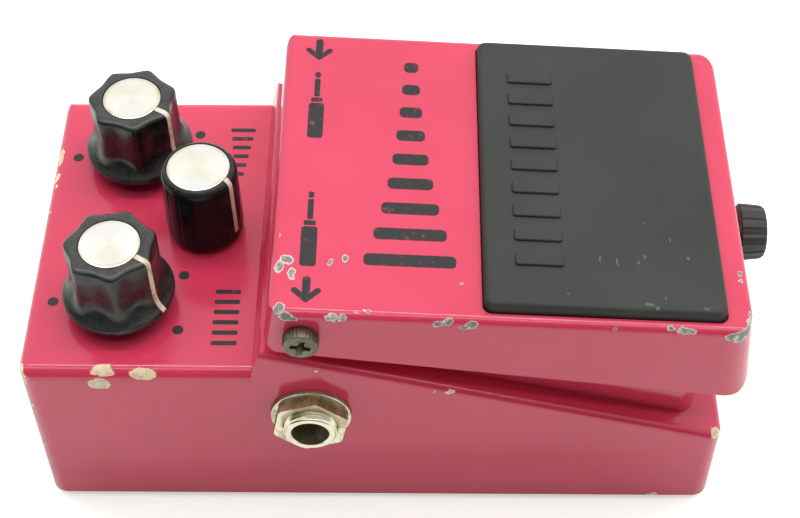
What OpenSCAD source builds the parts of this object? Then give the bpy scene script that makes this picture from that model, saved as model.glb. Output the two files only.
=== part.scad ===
// Compact stomp-box delay pedal: a die-cast case, a sprung treadle over a battery bay,
// three rotary controls, two side jacks and the works inside.
// X is the width, Y runs to the rear, Z is up. The origin is the middle of the base.

/* [Case] */
// Outside width of the case
case_width = 64; // [62:0.5:70]
// Outside length of the case
case_length = 120.7; // [119:0.1:126]
// Thickness of the case walls
case_wall = 2.5; // [2:0.1:2.8]
// Height of the step from the control panel up to its shoulder
step_height = 5.5; // [4:0.1:6.5]
// Length of the control panel from the rear wall to the foot of the step
panel_length = 39.35; // [38.5:0.05:40.5]
// Depth of the shoulder below the treadle's rear top edge
shoulder_drop = 12.05; // [11.55:0.05:13]
// How far the step leans forward from foot to top
step_lean = 1.6; // [0.5:0.1:2.2]
// Height of the sloping ledge at the front wall
nose_height = 21.2; // [18:0.1:24]
// Radius of the upright case corners
corner_radius = 3; // [2:0.1:5]
// Radius of the control panel's outer edges
panel_edge_radius = 2.2; // [1.5:0.1:2.4]
// Radius of the other painted top edges
edge_radius = 1.5; // [0.8:0.1:2]
// Width of the ledge at each side of the raised island
ledge_width = 4; // [3.6:0.1:4.5]
// Depth of the ledge in front of the raised island
ledge_front = 4.95; // [4.6:0.05:6]
// Depth of the island's flat top below the shoulder
island_drop = 1.1; // [0.5:0.1:1.6]
// Thickness of the island's front wall
island_wall = 2.5; // [2:0.1:3]
// Thickness of the island's roof
roof_thickness = 2.5; // [2:0.1:3]

/* [Base] */
// Thickness of the rubber mat under the pedal
rubber_thickness = 2; // [1.8:0.1:3]
// Thickness of the steel bottom plate
plate_thickness = 1.2; // [0.8:0.1:1.6]
// Gap round the bottom plate inside the case rim
plate_clearance = 0.3; // [0.2:0.05:0.6]
// Distance of the base screws from the outside of the case
base_screw_inset = 6; // [5.5:0.1:7]
// Diameter of the base screws
base_screw_diameter = 3; // [2.5:0.1:3.5]
// Diameter of the posts that take the base screws
base_post_diameter = 8; // [7.5:0.1:9]

/* [Hinge] */
// Distance from the rear wall forward to the hinge axis
hinge_setback = 48.3; // [47.9:0.05:48.8]
// Depth of the hinge axis below the treadle's rear top edge
hinge_drop = 6.3; // [6.05:0.05:6.55]
// Radius of the ears round the hinge axis
ear_radius = 3.1; // [2.8:0.05:3.2]
// Thickness of each ear
ear_thickness = 2.8; // [2.2:0.1:3.5]
// Length of each ear's foot in front of the axis
ear_foot = 6; // [4:0.5:9]
// Diameter of the hinge screw's shoulder
hinge_shoulder_diameter = 3.6; // [3.2:0.1:3.8]
// Diameter of the hinge screw's thread
hinge_thread_diameter = 2.9; // [2.5:0.1:3]
// Diameter of the hinge screw's head
hinge_head_diameter = 6; // [5.6:0.1:7]
// Thickness of the hinge screw's head
hinge_head_thickness = 2.2; // [1.5:0.1:3]
// Outside diameter of the hinge bush
bush_diameter = 5.2; // [4.8:0.1:5.4]
// Diameter of the flange on the hinge bush
bush_flange_diameter = 6.2; // [5.8:0.1:6.3]

/* [Treadle] */
// Overhang of the treadle beyond each side of the case
treadle_side_overhang = 0.4; // [0.2:0.05:1]
// Overhang of the treadle's top edge beyond the front of the case
treadle_front_overhang = 0.69; // [0.5:0.01:1.5]
// Distance from the hinge axis back to the treadle's rear top edge
treadle_tail = 5; // [4.8:0.05:5.2]
// Height of the treadle's top at the rear
treadle_rear_height = 57.15; // [54:0.05:62]
// Height of the treadle's front top edge above the island
treadle_front_rise = 8.4; // [8.2:0.1:10]
// Depth of the treadle's skirt at the rear
skirt_rear = 10.1; // [9.6:0.1:10.3]
// Depth of the treadle's skirt at the front
skirt_front = 18.3; // [17.8:0.1:20]
// How far the rear of the skirt leans out
draft_rear = 1.65; // [1.2:0.05:1.8]
// How far the front of the skirt leans out
draft_front = 1.96; // [1.5:0.02:2.3]
// Thickness of the treadle's skirt
treadle_wall = 2.4; // [2:0.1:2.5]
// Thickness of the treadle's top
treadle_top = 2.8; // [2.4:0.1:2.85]
// Radius of the treadle's upright front corners
treadle_corner_radius = 5; // [3:0.1:5.5]
// Rounding of the skirt's front lower corners
skirt_front_round = 2; // [0.5:0.1:4]
// Rounding of the skirt's rear lower corners
skirt_rear_round = 2.5; // [2.2:0.1:4]
// Angle that the foot presses the treadle down
press_angle = 3.5; // [2:0.1:3.6]

/* [Treadle pad] */
// Distance from the treadle's rear top edge to the pad recess
pad_setback = 34.2; // [32:0.1:36]
// Distance from the pad recess to the treadle's front top edge
pad_front_inset = 4.135; // [3:0.005:7]
// Width of the pad recess
pad_recess_width = 61.3; // [56:0.1:61.8]
// Depth of the pad recess
pad_recess_depth = 1.2; // [0.8:0.1:1.4]
// Corner radius of the pad recess
pad_corner_radius = 1.6; // [1.2:0.1:4]
// Gap round the pad in its recess
pad_clearance = 0.6; // [0.3:0.05:0.9]
// Thickness of the rubber pad
pad_thickness = 3.2; // [2.4:0.1:4]
// Rounding of the pad's upper edges
pad_edge_radius = 1.6; // [0.6:0.1:1.8]

/* [Thumbscrew] */
// Depth of the thumbscrew's axis below the island's top
thumbscrew_drop = 4.8; // [4.4:0.05:5.1]
// Diameter of the thumbscrew's head at its outer end
thumb_head_end_diameter = 9.4; // [8.5:0.1:10]
// Diameter of the thumbscrew's head at its inner end
thumb_head_diameter = 10.3; // [9.5:0.1:10.4]
// Length of the thumbscrew's head
thumb_head_length = 4.6; // [4:0.1:6]
// Number of flutes round the thumbscrew's head
thumb_flutes = 18; // [14:1:24]
// Depth of the flutes on the thumbscrew's head
thumb_flute_depth = 0.2; // [0.15:0.05:0.4]
// Travel of the thumbscrew from backed out to screwed in
thumb_travel = 1.4; // [1.2:0.1:2.1]
// Diameter of the thumbscrew's thread
thumb_thread_diameter = 4; // [3.5:0.1:4.5]
// Diameter of the thumbscrew's plain tip
thumb_tip_diameter = 3; // [2.4:0.1:3.2]
// Length of the thumbscrew's plain tip
thumb_tip_length = 3.2; // [3:0.1:3.4]
// Outside diameter of the ring that keeps the thumbscrew captive
captive_ring_diameter = 8; // [6.5:0.1:9]
// Thickness of the captive ring
captive_ring_thickness = 0.9; // [0.6:0.05:0.9]
// Wall of the bush that lines the thumbscrew's slot
guide_bush_wall = 1.2; // [0.8:0.1:1.3]
// Room round the thumbscrew's tip inside that bush
guide_room = 0.5; // [0.4:0.05:0.6]

/* [Controls] */
// Distance from each side of the case to the outer controls
control_side_inset = 15.15; // [14.5:0.05:15.8]
// Distance from the rear wall to the outer controls
outer_control_setback = 16.1; // [15.4:0.05:17]
// Distance from the rear wall to the middle control
middle_control_setback = 29.4; // [28.5:0.1:30.2]
// Turn of each control from end to end
knob_sweep = 300; // [260:5:320]
// Gap between the outer knobs and the panel
outer_knob_gap = 3; // [2.4:0.1:3.4]
// Gap between the middle knob and the panel
middle_knob_gap = 1.6; // [1.2:0.1:2]
// Diameter of the skirt of the outer knobs
skirt_diameter = 19.2; // [18.6:0.1:21]
// Thickness of the skirt's rim
skirt_rim = 1.2; // [0.8:0.1:1.6]
// Height of the skirt's flare above the panel
flare_height = 6.8; // [6:0.1:8]
// Diameter of the grip of the outer knobs
grip_diameter = 15.9; // [15:0.1:17]
// Number of lobes round the grip
grip_lobes = 7; // [6:1:9]
// Width of the hollow between two lobes
flute_width = 5.6; // [5:0.1:6]
// Depth of the hollow below a straight line from lobe to lobe
flute_depth = 0.4; // [0.2:0.05:0.6]
// Height of the outer knobs above the panel
outer_knob_height = 15.7; // [14.5:0.1:18]
// Diameter of the metal cap on the outer knobs
outer_cap_diameter = 10.2; // [9.5:0.1:11.5]
// Diameter of the middle knob at its foot
middle_knob_diameter = 13.6; // [13.4:0.1:14.5]
// Diameter of the middle knob at its top
middle_knob_top_diameter = 13; // [12.8:0.1:13.4]
// Height of the middle knob above the panel
middle_knob_height = 16.1; // [15.5:0.1:19]
// Number of grooves round the middle knob
middle_grooves = 18; // [12:1:24]
// Radius of the grooves round the middle knob
middle_groove_radius = 0.5; // [0.3:0.05:0.6]
// Diameter of the metal cap on the middle knob
middle_cap_diameter = 10.8; // [9.5:0.1:11]
// Thickness of the metal caps
cap_thickness = 0.8; // [0.5:0.1:1.2]
// Width of the pointer lines
pointer_width = 0.9; // [0.6:0.05:1.4]
// Depth of the pointer lines
pointer_depth = 0.4; // [0.3:0.05:0.5]
// Bevel at the top rim of the knobs
knob_bevel = 0.5; // [0.3:0.05:0.7]

/* [Potentiometers] */
// Diameter of the potentiometer bodies
pot_diameter = 16.5; // [15:0.1:17]
// Thickness of the potentiometer bodies
pot_thickness = 8; // [6:0.5:10]
// Diameter of the threaded potentiometer bush
pot_bush_diameter = 7; // [6.8:0.1:7.4]
// Length of the threaded bush above the panel
pot_bush_proud = 3.6; // [3.2:0.1:3.8]
// Diameter of the potentiometer shafts
pot_shaft_diameter = 6; // [5.6:0.1:6.2]
// Width across the flats of the potentiometer nuts
pot_nut_flats = 9; // [8.6:0.1:9.2]
// Thickness of the potentiometer nuts
pot_nut_thickness = 2; // [1.5:0.1:2.2]
// Diameter of the potentiometer washers
pot_washer_diameter = 10.4; // [9.8:0.1:10.6]
// Thickness of the potentiometer washers
pot_washer_thickness = 0.6; // [0.4:0.1:0.8]
// Diameter of the hollow under each knob
knob_hollow_diameter = 11.2; // [11:0.1:11.6]

/* [Indicator] */
// Distance from the rear wall to the indicator
led_setback = 11.85; // [11:0.05:14]
// Diameter of the indicator lens
led_diameter = 3; // [2.8:0.1:3.4]
// Height of the lens above the panel
led_proud = 2; // [1.6:0.1:2.6]
// Diameter of the holder's rim
led_rim_diameter = 5.4; // [5:0.1:6.5]

/* [Jacks] */
// Distance from the rear wall forward to the side jacks
jack_setback = 48.95; // [48:0.05:50]
// Depth of the side jacks below the shoulder
jack_drop = 16.9; // [16.5:0.1:18]
// Bore for a quarter-inch plug
jack_bore = 6.5; // [6.4:0.05:6.6]
// Diameter of the jack's threaded bush
jack_bush_diameter = 9.2; // [8.8:0.1:9.6]
// How far the bush stands out of the case
jack_bush_proud = 4.3; // [3.6:0.1:5]
// Length of the bush inside the case wall
jack_bush_inside = 9; // [5:0.5:12]
// Diameter of the jack washer
jack_washer_diameter = 13.9; // [13:0.1:15]
// Thickness of the jack washer
jack_washer_thickness = 0.7; // [0.5:0.1:1]
// Width across the corners of the jack nut
jack_nut_corners = 13.8; // [12.8:0.1:14.5]
// Thickness of the jack nut
jack_nut_thickness = 2.2; // [1.8:0.1:2.6]
// Height and depth of the jack body
jack_body_side = 12.5; // [11.8:0.1:13]
// Length of the jack body
jack_body_length = 22; // [18:0.5:23]

/* [Power inlet] */
// Height of the power inlet on the rear wall
inlet_height = 21; // [20:0.1:22]
// Diameter of the inlet's collar
inlet_collar_diameter = 10; // [9:0.1:11]
// Diameter of the inlet's socket
inlet_socket_diameter = 5.6; // [5.4:0.1:6]
// Depth of the inlet's socket
inlet_socket_depth = 9.5; // [9:0.1:11]
// Diameter of the inlet's pin
inlet_pin_diameter = 2.1; // [1.9:0.1:2.6]
// Width and height of the inlet body
inlet_body_side = 11.5; // [11:0.1:12.5]
// Depth of the inlet body
inlet_body_depth = 12; // [11:0.1:14]

/* [Battery] */
// Length of the nine-volt battery
battery_length = 46.4; // [45:0.1:46.6]
// Width of the battery
battery_width = 26.5; // [25.5:0.1:26.7]
// Thickness of the battery
battery_thickness = 17.5; // [16.5:0.1:17.7]
// Height of the battery terminals
terminal_height = 2; // [1.5:0.1:2.2]
// Room round the battery in its bay
battery_room = 0.5; // [0.4:0.05:0.7]
// Height of the bay's floor
bay_floor_height = 24; // [23.5:0.1:24.6]
// Thickness of the bay's floor and rear wall
bay_wall = 2; // [1.6:0.1:2.5]

/* [Switch and spring] */
// Distance from the middle plane to the switch and to the spring
switch_offset = 13; // [12:0.5:13.5]
// Share of the way from the hinge axis to the battery bay's wall at which the switch sits
switch_place_ratio = 0.8805; // [0.85:0.0005:0.95]
// Side of the switch body
switch_side = 12; // [11:0.5:13]
// Depth of the switch body
switch_depth = 9; // [8:0.5:9.5]
// Diameter of the switch plunger
plunger_diameter = 5; // [4:0.1:5.5]
// Height of the plunger above the island
plunger_proud = 3.1; // [2.8:0.1:3.6]
// Gap between the plunger and the pusher above it
pusher_gap = 0.4; // [0.3:0.05:0.6]
// Diameter of the pusher
pusher_diameter = 7; // [6:0.5:9]
// Outside diameter of the return spring
spring_diameter = 11; // [10:0.1:11.4]
// Diameter of the spring wire
spring_wire = 1.2; // [0.9:0.05:1.3]
// Number of spring turns
spring_turns = 6; // [4:1:7]
// Room between the spring and its pocket
spring_room = 0.7; // [0.6:0.1:1]
// Depth of the spring's pocket below the island's top
spring_pocket_depth = 9; // [8:0.1:9.5]
// Thickness of the cup on top of the spring
spring_cup_thickness = 0.8; // [0.5:0.1:1]
// Depth of the cup's skirt round the spring
spring_cup_skirt = 2; // [1:0.1:3]

/* [Circuit board] */
// Height of the board's underside
board_height = 9; // [8:0.1:9.2]
// Thickness of the circuit boards
board_thickness = 1.6; // [1:0.1:1.8]
// Gap between the board and each side wall
board_side_gap = 5.5; // [4:0.1:8]
// Gap between the board and the front and rear walls
board_end_gap = 11; // [10:0.1:14]

/* [Hidden] */
$fn = 64;
// Small overlap where a cut runs past a face
cut = 1;
// Height that clears the tallest piece
tall = 80;
// Radial clearance of turning fits
running_clearance = 0.05;
// Radial clearance of screws and bushes in their holes
hole_clearance = 0.1;
// Gap between a screw head or ring and the moving face beside it
face_gap = 0.1;

shoulder_height = treadle_rear_height - shoulder_drop;
panel_height = shoulder_height - step_height;
island_height = shoulder_height - island_drop;
hinge_height = treadle_rear_height - hinge_drop;
treadle_front_height = island_height + treadle_front_rise;
thumbscrew_height = island_height - thumbscrew_drop;
jack_height = shoulder_height - jack_drop;
spring_floor_height = island_height - spring_pocket_depth;

half_width = case_width / 2;
rear_y = case_length / 2;
front_y = -rear_y;
rim_z = rubber_thickness;
plate_top_z = rim_z + plate_thickness;
inner_half_width = half_width - case_wall;
step_foot_y = rear_y - panel_length;
step_top_y = step_foot_y - step_lean;
ledge_run = step_top_y - front_y;
ledge_angle = atan((shoulder_height - nose_height) / ledge_run);
island_half_width = half_width - ledge_width;
island_front_y = front_y + ledge_front;
island_tuck = 4;
island_back_y = step_top_y - island_tuck;
island_corner_radius = 3;
roof_z = island_height - roof_thickness;
step_round = 1.2;

hinge_y = rear_y - hinge_setback;
ear_back = 1.4;
ear_foot_rise = 1;
ear_inner_x = island_half_width - ear_thickness;
hinge_head_x = half_width + treadle_side_overhang + face_gap;
bush_bore = hinge_shoulder_diameter + 2 * running_clearance;
bush_hole = bush_diameter + 2 * running_clearance;

treadle_half_width = half_width + treadle_side_overhang;
treadle_rear_y = hinge_y + treadle_tail;
treadle_front_y = front_y - treadle_front_overhang;
treadle_slope = atan((treadle_rear_height - treadle_front_height) / (treadle_rear_y - treadle_front_y));
treadle_top_run = (treadle_rear_y - treadle_front_y) / cos(treadle_slope);
pad_recess_length = treadle_top_run - pad_setback - pad_front_inset;
front_draft_angle = atan(draft_front / skirt_front);
rear_draft_angle = atan(draft_rear / skirt_rear);
skirt_inner_x = treadle_half_width - treadle_wall;
lip_gap = 0.4;
lip_rise = 0.15;
lip_inner_y = hinge_y + ear_radius + lip_gap;
lip_bottom_z = hinge_height + lip_rise;

function treadle_top_z(y) = treadle_rear_height - (treadle_rear_y - y) * tan(treadle_slope);
function treadle_ceiling_z(y) = treadle_top_z(y) - treadle_top / cos(treadle_slope);
function treadle_front_at(z) = treadle_front_y - (treadle_front_height - z) * tan(front_draft_angle);
function ledge_z(y) = shoulder_height - (step_top_y - y) * tan(ledge_angle);

thumb_spot_depth = 0.15;
thumb_stop_gap = 0.1;
thumb_tip_gap = 0.3;
thumb_spot_margin = 0.4;
ring_spot_margin = 0.5;
thumb_seat_y = treadle_front_at(thumbscrew_height) + thumb_spot_depth;
thumb_head_y = thumb_seat_y - thumb_stop_gap - thumb_travel;
thumb_end_y = thumb_head_y - thumb_head_length;
thumb_tip_y = island_front_y - thumb_tip_gap;
thumb_inner_face_y = treadle_front_at(thumbscrew_height) + treadle_wall;
thumb_drop = (hinge_y - island_front_y) * sin(press_angle);
thumb_spot_radius = thumb_head_diameter / 2 + thumb_spot_margin;
ring_spot_radius = captive_ring_diameter / 2 + ring_spot_margin;

guide_inner_width = thumb_tip_diameter + 2 * guide_room;
guide_outer_width = guide_inner_width + 2 * guide_bush_wall;

knob_x = half_width - control_side_inset;
outer_control_y = rear_y - outer_control_setback;
middle_control_y = rear_y - middle_control_setback;
pointer_rest = -90 - (360 - knob_sweep) / 2;
CONTROLS = [[-knob_x, outer_control_y], [0, middle_control_y], [knob_x, outer_control_y]];
panel_inner_z = panel_height - case_wall;
pot_shaft_end = 11.5;
knob_hollow_height = 4.4;
shaft_end_gap = 0.3;
cap_margin = 0.3;
pointer_cut = 0.2;
pointer_seat_gap = 0.03;
pointer_body_width = pointer_width - 2 * pointer_seat_gap;

led_y = rear_y - led_setback;
led_sleeve_wall = 0.6;
led_sleeve_diameter = led_diameter + 2 * led_sleeve_wall;
led_sleeve_tail = 2;
led_lens_tail = 3.5;
led_rim_height = 0.6;

jack_y = rear_y - jack_setback;
jack_hole = jack_bush_diameter + 2 * hole_clearance;
jack_body_inner_x = inner_half_width - jack_body_length;

bay_front_y = island_front_y + island_wall;
bay_rear_y = bay_front_y + battery_width + 2 * battery_room;
bay_half_width = (battery_length + terminal_height) / 2 + battery_room;
bay_middle_y = (bay_front_y + bay_rear_y) / 2;
battery_floor_gap = 0.2;

switch_board_margin = 1;
switch_limit_y = bay_rear_y + bay_wall + switch_side / 2 + switch_board_margin;
switch_reach = switch_place_ratio * (hinge_y - switch_limit_y);
switch_y = hinge_y - switch_reach;
plunger_top_z = island_height + plunger_proud;
plunger_buried = 5.5;
plunger_roof_gap = 0.3;
switch_end_room = 0.6;
plunger_bottom_z = roof_z - plunger_buried;
plunger_hole = plunger_diameter + 2 * hole_clearance;
plunger_roof_hole = plunger_diameter + 2 * plunger_roof_gap;
switch_travel_room = switch_reach * sin(press_angle) + switch_end_room;
switch_board_z = roof_z - switch_depth - board_thickness;
switch_post_diameter = 4.6;
switch_post_gap = 0.3;
switch_post_offset = switch_side / 2 + switch_post_diameter / 2 + switch_post_gap;
switch_screw_diameter = 1.8;
switch_screw_length = 5;
switch_screw_head_diameter = 3.8;
switch_screw_head_height = 1.2;
pusher_stem_diameter = 2.8;
pusher_stem_length = 1;
spring_pocket_diameter = spring_diameter + 2 * spring_room;
spring_seat_drop = 0.4;
spring_end_gap = 0.3;
spring_seat_margin = 0.8;
spring_peg_gap = 0.6;
spring_seat_z = treadle_ceiling_z(switch_y - spring_diameter / 2) - spring_seat_drop;
spring_cup_top_z = spring_seat_z - spring_end_gap;
spring_top_z = spring_cup_top_z - spring_cup_thickness - spring_end_gap;
spring_cup_room = 0.4;
spring_cup_wall = 0.6;
spring_cup_inner = spring_diameter + 2 * spring_cup_room;
spring_cup_diameter = spring_cup_inner + 2 * spring_cup_wall;
spring_seat_diameter = spring_diameter + 2 * spring_seat_margin;
spring_peg_diameter = spring_diameter - 2 * spring_wire - 2 * spring_peg_gap;
spring_peg_length = 3.5;

base_screw_x = half_width - base_screw_inset;
base_screw_y = rear_y - base_screw_inset;
base_screw_grip = 6;
base_screw_core = base_screw_diameter - 0.5;
base_screw_head_diameter = 5.7;
base_screw_head_height = 1.4;
base_screw_well_diameter = 7.8;
base_screw_slot = 0.8;
base_hole_room = 2;
plate_corner_radius = 1;
board_half_width = inner_half_width - board_side_gap;
board_front_y = front_y + case_wall + board_end_gap;
board_rear_y = rear_y - case_wall - board_end_gap;
board_top_z = board_height + board_thickness;
spacer_inset = 4;
spacer_diameter = 6;

// Rounded outlines: a polygon through the tangent points, with a true circle at each corner.
function unit(v) = v / norm(v);
function arm(corners, i, step) = unit(corners[(i + step + len(corners)) % len(corners)] - corners[i]);
function half_angle(corners, i) = acos(arm(corners, i, -1) * arm(corners, i, 1)) / 2;
function arc_centre(corners, i, radius) =
    corners[i] + unit(arm(corners, i, -1) + arm(corners, i, 1)) * radius / sin(half_angle(corners, i));
function tangent_points(corners, i, radius) = radius == 0
    ? [corners[i]]
    : [for (step = [-1, 1]) corners[i] + arm(corners, i, step) * radius / tan(half_angle(corners, i))];

module rounded_outline(corners, radii) {
    polygon([for (i = [0 : len(corners) - 1]) each tangent_points(corners, i, radii[i])]);
    for (i = [0 : len(corners) - 1])
        if (radii[i] > 0)
            translate(arc_centre(corners, i, radii[i])) circle(radii[i]);
}

module rounded_rectangle(width, length, radius) {
    rounded_outline([for (s = [[-1, -1], [1, -1], [1, 1], [-1, 1]]) [s[0] * width / 2, s[1] * length / 2]],
        [radius, radius, radius, radius]);
}

// A tunnel outline with its rounded top at zero
module arch(width, depth, radius) {
    rounded_outline([[-width / 2, -depth], [width / 2, -depth], [width / 2, 0], [-width / 2, 0]],
        [0, 0, radius, radius]);
}

// An upright slot with round ends
module slot(width, height) {
    square([width, height - width], center = true);
    for (side = [-1, 1])
        translate([0, side * (height - width) / 2]) circle(d = width);
}

module along_x(width) {
    rotate([90, 0, 90]) linear_extrude(width, center = true) children();
}

module along_y(length) {
    rotate([90, 0, 0]) linear_extrude(length, center = true) children();
}

module both_sides() {
    children();
    mirror([1, 0, 0]) children();
}

module rod_x(diameter, from, to) {
    translate([from, 0, 0]) rotate([0, 90, 0]) cylinder(d = diameter, h = to - from);
}

module rod_y(diameter, from, to) {
    translate([0, to, 0]) rotate([90, 0, 0]) cylinder(d = diameter, h = to - from);
}

module ring(outer, inner, height) {
    difference() {
        cylinder(d = outer, h = height);
        translate([0, 0, -cut]) cylinder(d = inner, h = height + 2 * cut);
    }
}

// Case

module rear_block() {
    intersection() {
        translate([0, rear_y, panel_height])
            along_y(2 * case_length) arch(case_width, tall, panel_edge_radius);
        along_x(tall) rounded_outline(
            [[step_top_y, 0], [rear_y, 0], [rear_y, panel_height], [step_top_y, panel_height]],
            [0, 0, panel_edge_radius, 0]);
    }
}

module front_wedge() {
    intersection() {
        translate([0, step_top_y, shoulder_height]) rotate([ledge_angle, 0, 0])
            along_y(2 * case_length) arch(case_width, tall, edge_radius);
        along_x(tall) rounded_outline(
            [[front_y, 0], [step_foot_y, 0], [step_foot_y, panel_height],
             [step_top_y, shoulder_height], [front_y, nose_height]],
            [0, 0, 0, step_round, edge_radius]);
    }
}

module island() {
    island_length = island_back_y - island_front_y;
    translate([0, island_front_y + island_length / 2, rim_z])
        linear_extrude(island_height - rim_z)
            rounded_rectangle(2 * island_half_width, island_length, island_corner_radius);
}

module hinge_ear() {
    translate([(ear_inner_x + island_half_width) / 2, 0, 0]) along_x(ear_thickness) {
        translate([hinge_y, hinge_height]) circle(ear_radius);
        polygon([
            [hinge_y - ear_radius, hinge_height], [hinge_y + ear_back, hinge_height],
            [hinge_y + ear_back, roof_z], [hinge_y - ear_foot, roof_z],
            [hinge_y - ear_foot, island_height + ear_foot_rise]
        ]);
    }
}

// The room under the panel, the ledge and the island roof
module case_cavity() {
    ledge_inner_front = ledge_z(front_y + case_wall) - case_wall / cos(ledge_angle);
    ledge_inner_rear = ledge_z(step_top_y - case_wall) - case_wall / cos(ledge_angle);
    along_x(2 * inner_half_width) polygon([
        [front_y + case_wall, 0], [rear_y - case_wall, 0], [rear_y - case_wall, panel_inner_z],
        [step_foot_y - case_wall, panel_inner_z], [step_top_y - case_wall, ledge_inner_rear],
        [front_y + case_wall, ledge_inner_front]
    ]);
    translate([0, (bay_rear_y + hinge_y) / 2, roof_z / 2])
        cube([2 * bay_half_width, hinge_y - bay_rear_y, roof_z], center = true);
}

module bay_block() {
    translate([0, (bay_front_y - bay_wall + bay_rear_y + bay_wall) / 2, bay_floor_height - bay_wall])
        linear_extrude(island_height - bay_floor_height)
            square([2 * (bay_half_width + bay_wall), bay_rear_y - bay_front_y + 2 * bay_wall], center = true);
}

module bay_hollow() {
    translate([0, bay_middle_y, bay_floor_height]) linear_extrude(tall)
        square([2 * bay_half_width, bay_rear_y - bay_front_y], center = true);
}

module base_posts() {
    for (x = [-1, 1]) {
        translate([x * base_screw_x, -base_screw_y, plate_top_z])
            cylinder(d = base_post_diameter, h = ledge_z(-base_screw_y) - case_wall - plate_top_z);
        translate([x * base_screw_x, base_screw_y, plate_top_z])
            cylinder(d = base_post_diameter, h = panel_inner_z + cut - plate_top_z);
    }
}

module guide_slot(width, from, to) {
    slot_top = thumbscrew_height + width / 2;
    slot_height = thumb_drop + width;
    translate([0, (from + to) / 2, slot_top - slot_height / 2]) along_y(to - from) slot(width, slot_height);
}

module case_holes() {
    translate([0, hinge_y, hinge_height])
        rod_x(hinge_thread_diameter + 2 * hole_clearance, -island_half_width - cut, island_half_width + cut);
    translate([0, jack_y, jack_height]) rod_x(jack_hole, -half_width - cut, half_width + cut);
    for (place = CONTROLS)
        translate([place[0], place[1], panel_inner_z - cut])
            cylinder(d = pot_bush_diameter + 2 * hole_clearance, h = case_wall + 2 * cut);
    translate([0, led_y, panel_inner_z - cut])
        cylinder(d = led_sleeve_diameter + 2 * hole_clearance, h = case_wall + 2 * cut);
    translate([0, 0, inlet_height])
        rod_y(inlet_collar_diameter + 2 * hole_clearance, rear_y - case_wall - cut, rear_y + cut);
    translate([-switch_offset, switch_y, roof_z - cut])
        cylinder(d = plunger_roof_hole, h = roof_thickness + 2 * cut);
    translate([switch_offset, switch_y, spring_floor_height]) cylinder(d = spring_pocket_diameter, h = tall);
    for (x = [-1, 1], y = [-1, 1])
        translate([x * base_screw_x, y * base_screw_y, plate_top_z - cut])
            cylinder(d = base_screw_core + hole_clearance, h = base_screw_grip + base_hole_room + cut);
    for (x = [-1, 1])
        translate([-switch_offset + x * switch_post_offset, switch_y, switch_board_z])
            cylinder(d = switch_screw_diameter + 2 * hole_clearance, h = switch_depth);
    guide_slot(guide_outer_width, island_front_y - cut, bay_front_y + cut);
}

module case_housing() {
    color("crimson") difference() {
        union() {
            difference() {
                union() {
                    intersection() {
                        translate([0, 0, rim_z]) linear_extrude(tall)
                            rounded_rectangle(case_width, case_length, corner_radius);
                        union() {
                            rear_block();
                            front_wedge();
                        }
                    }
                    island();
                }
                case_cavity();
            }
            bay_block();
            base_posts();
            both_sides() hinge_ear();
            translate([switch_offset, switch_y, spring_floor_height - bay_wall])
                cylinder(d = spring_pocket_diameter + 2 * bay_wall,
                    h = roof_z + cut - spring_floor_height + bay_wall);
            for (x = [-1, 1])
                translate([-switch_offset + x * switch_post_offset, switch_y, switch_board_z + board_thickness])
                    cylinder(d = switch_post_diameter, h = switch_depth + cut);
        }
        bay_hollow();
        case_holes();
    }
}

// Base

module base_outline(inset, radius) {
    rounded_rectangle(2 * (inner_half_width - inset), case_length - 2 * (case_wall + inset), radius);
}

module at_base_screws() {
    for (x = [-1, 1], y = [-1, 1])
        translate([x * base_screw_x, y * base_screw_y, 0]) children();
}

module bottom_plate() {
    color("silver") difference() {
        translate([0, 0, rim_z]) linear_extrude(plate_thickness)
            base_outline(plate_clearance, plate_corner_radius);
        at_base_screws() cylinder(d = base_screw_diameter + 2 * hole_clearance, h = tall);
    }
}

module base_rubber() {
    color("black") difference() {
        linear_extrude(rubber_thickness) base_outline(plate_clearance, corner_radius);
        at_base_screws() translate([0, 0, -cut]) cylinder(d = base_screw_well_diameter, h = tall);
    }
}

module bottom_screws() {
    head_z = rim_z - base_screw_head_height;
    color("gray") at_base_screws() difference() {
        union() {
            translate([0, 0, head_z]) cylinder(d = base_screw_head_diameter, h = base_screw_head_height);
            translate([0, 0, rim_z]) cylinder(d = base_screw_core, h = plate_thickness + base_screw_grip);
        }
        for (turn = [0, 90])
            translate([0, 0, head_z]) rotate(turn)
                cube([base_screw_diameter, base_screw_slot, base_screw_head_height], center = true);
    }
}

// Hinge

module hinge_screws() {
    slot_length = 3.6;
    slot_width = 0.9;
    slot_depth = 0.9;
    color("silver") both_sides() translate([0, hinge_y, hinge_height]) difference() {
        union() {
            rod_x(hinge_head_diameter, hinge_head_x, hinge_head_x + hinge_head_thickness);
            rod_x(hinge_shoulder_diameter, island_half_width, hinge_head_x);
            rod_x(hinge_thread_diameter, ear_inner_x, island_half_width);
        }
        for (turn = [0, 90])
            translate([hinge_head_x + hinge_head_thickness, 0, 0]) rotate([turn, 0, 0])
                cube([2 * slot_depth, slot_length, slot_width], center = true);
    }
}

module hinge_bushes() {
    color("ivory") both_sides() translate([0, hinge_y, hinge_height]) difference() {
        union() {
            rod_x(bush_flange_diameter, island_half_width + face_gap, skirt_inner_x - face_gap);
            rod_x(bush_diameter, skirt_inner_x - face_gap, treadle_half_width);
        }
        rod_x(bush_bore, island_half_width, hinge_head_x);
    }
}

// Treadle

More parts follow.
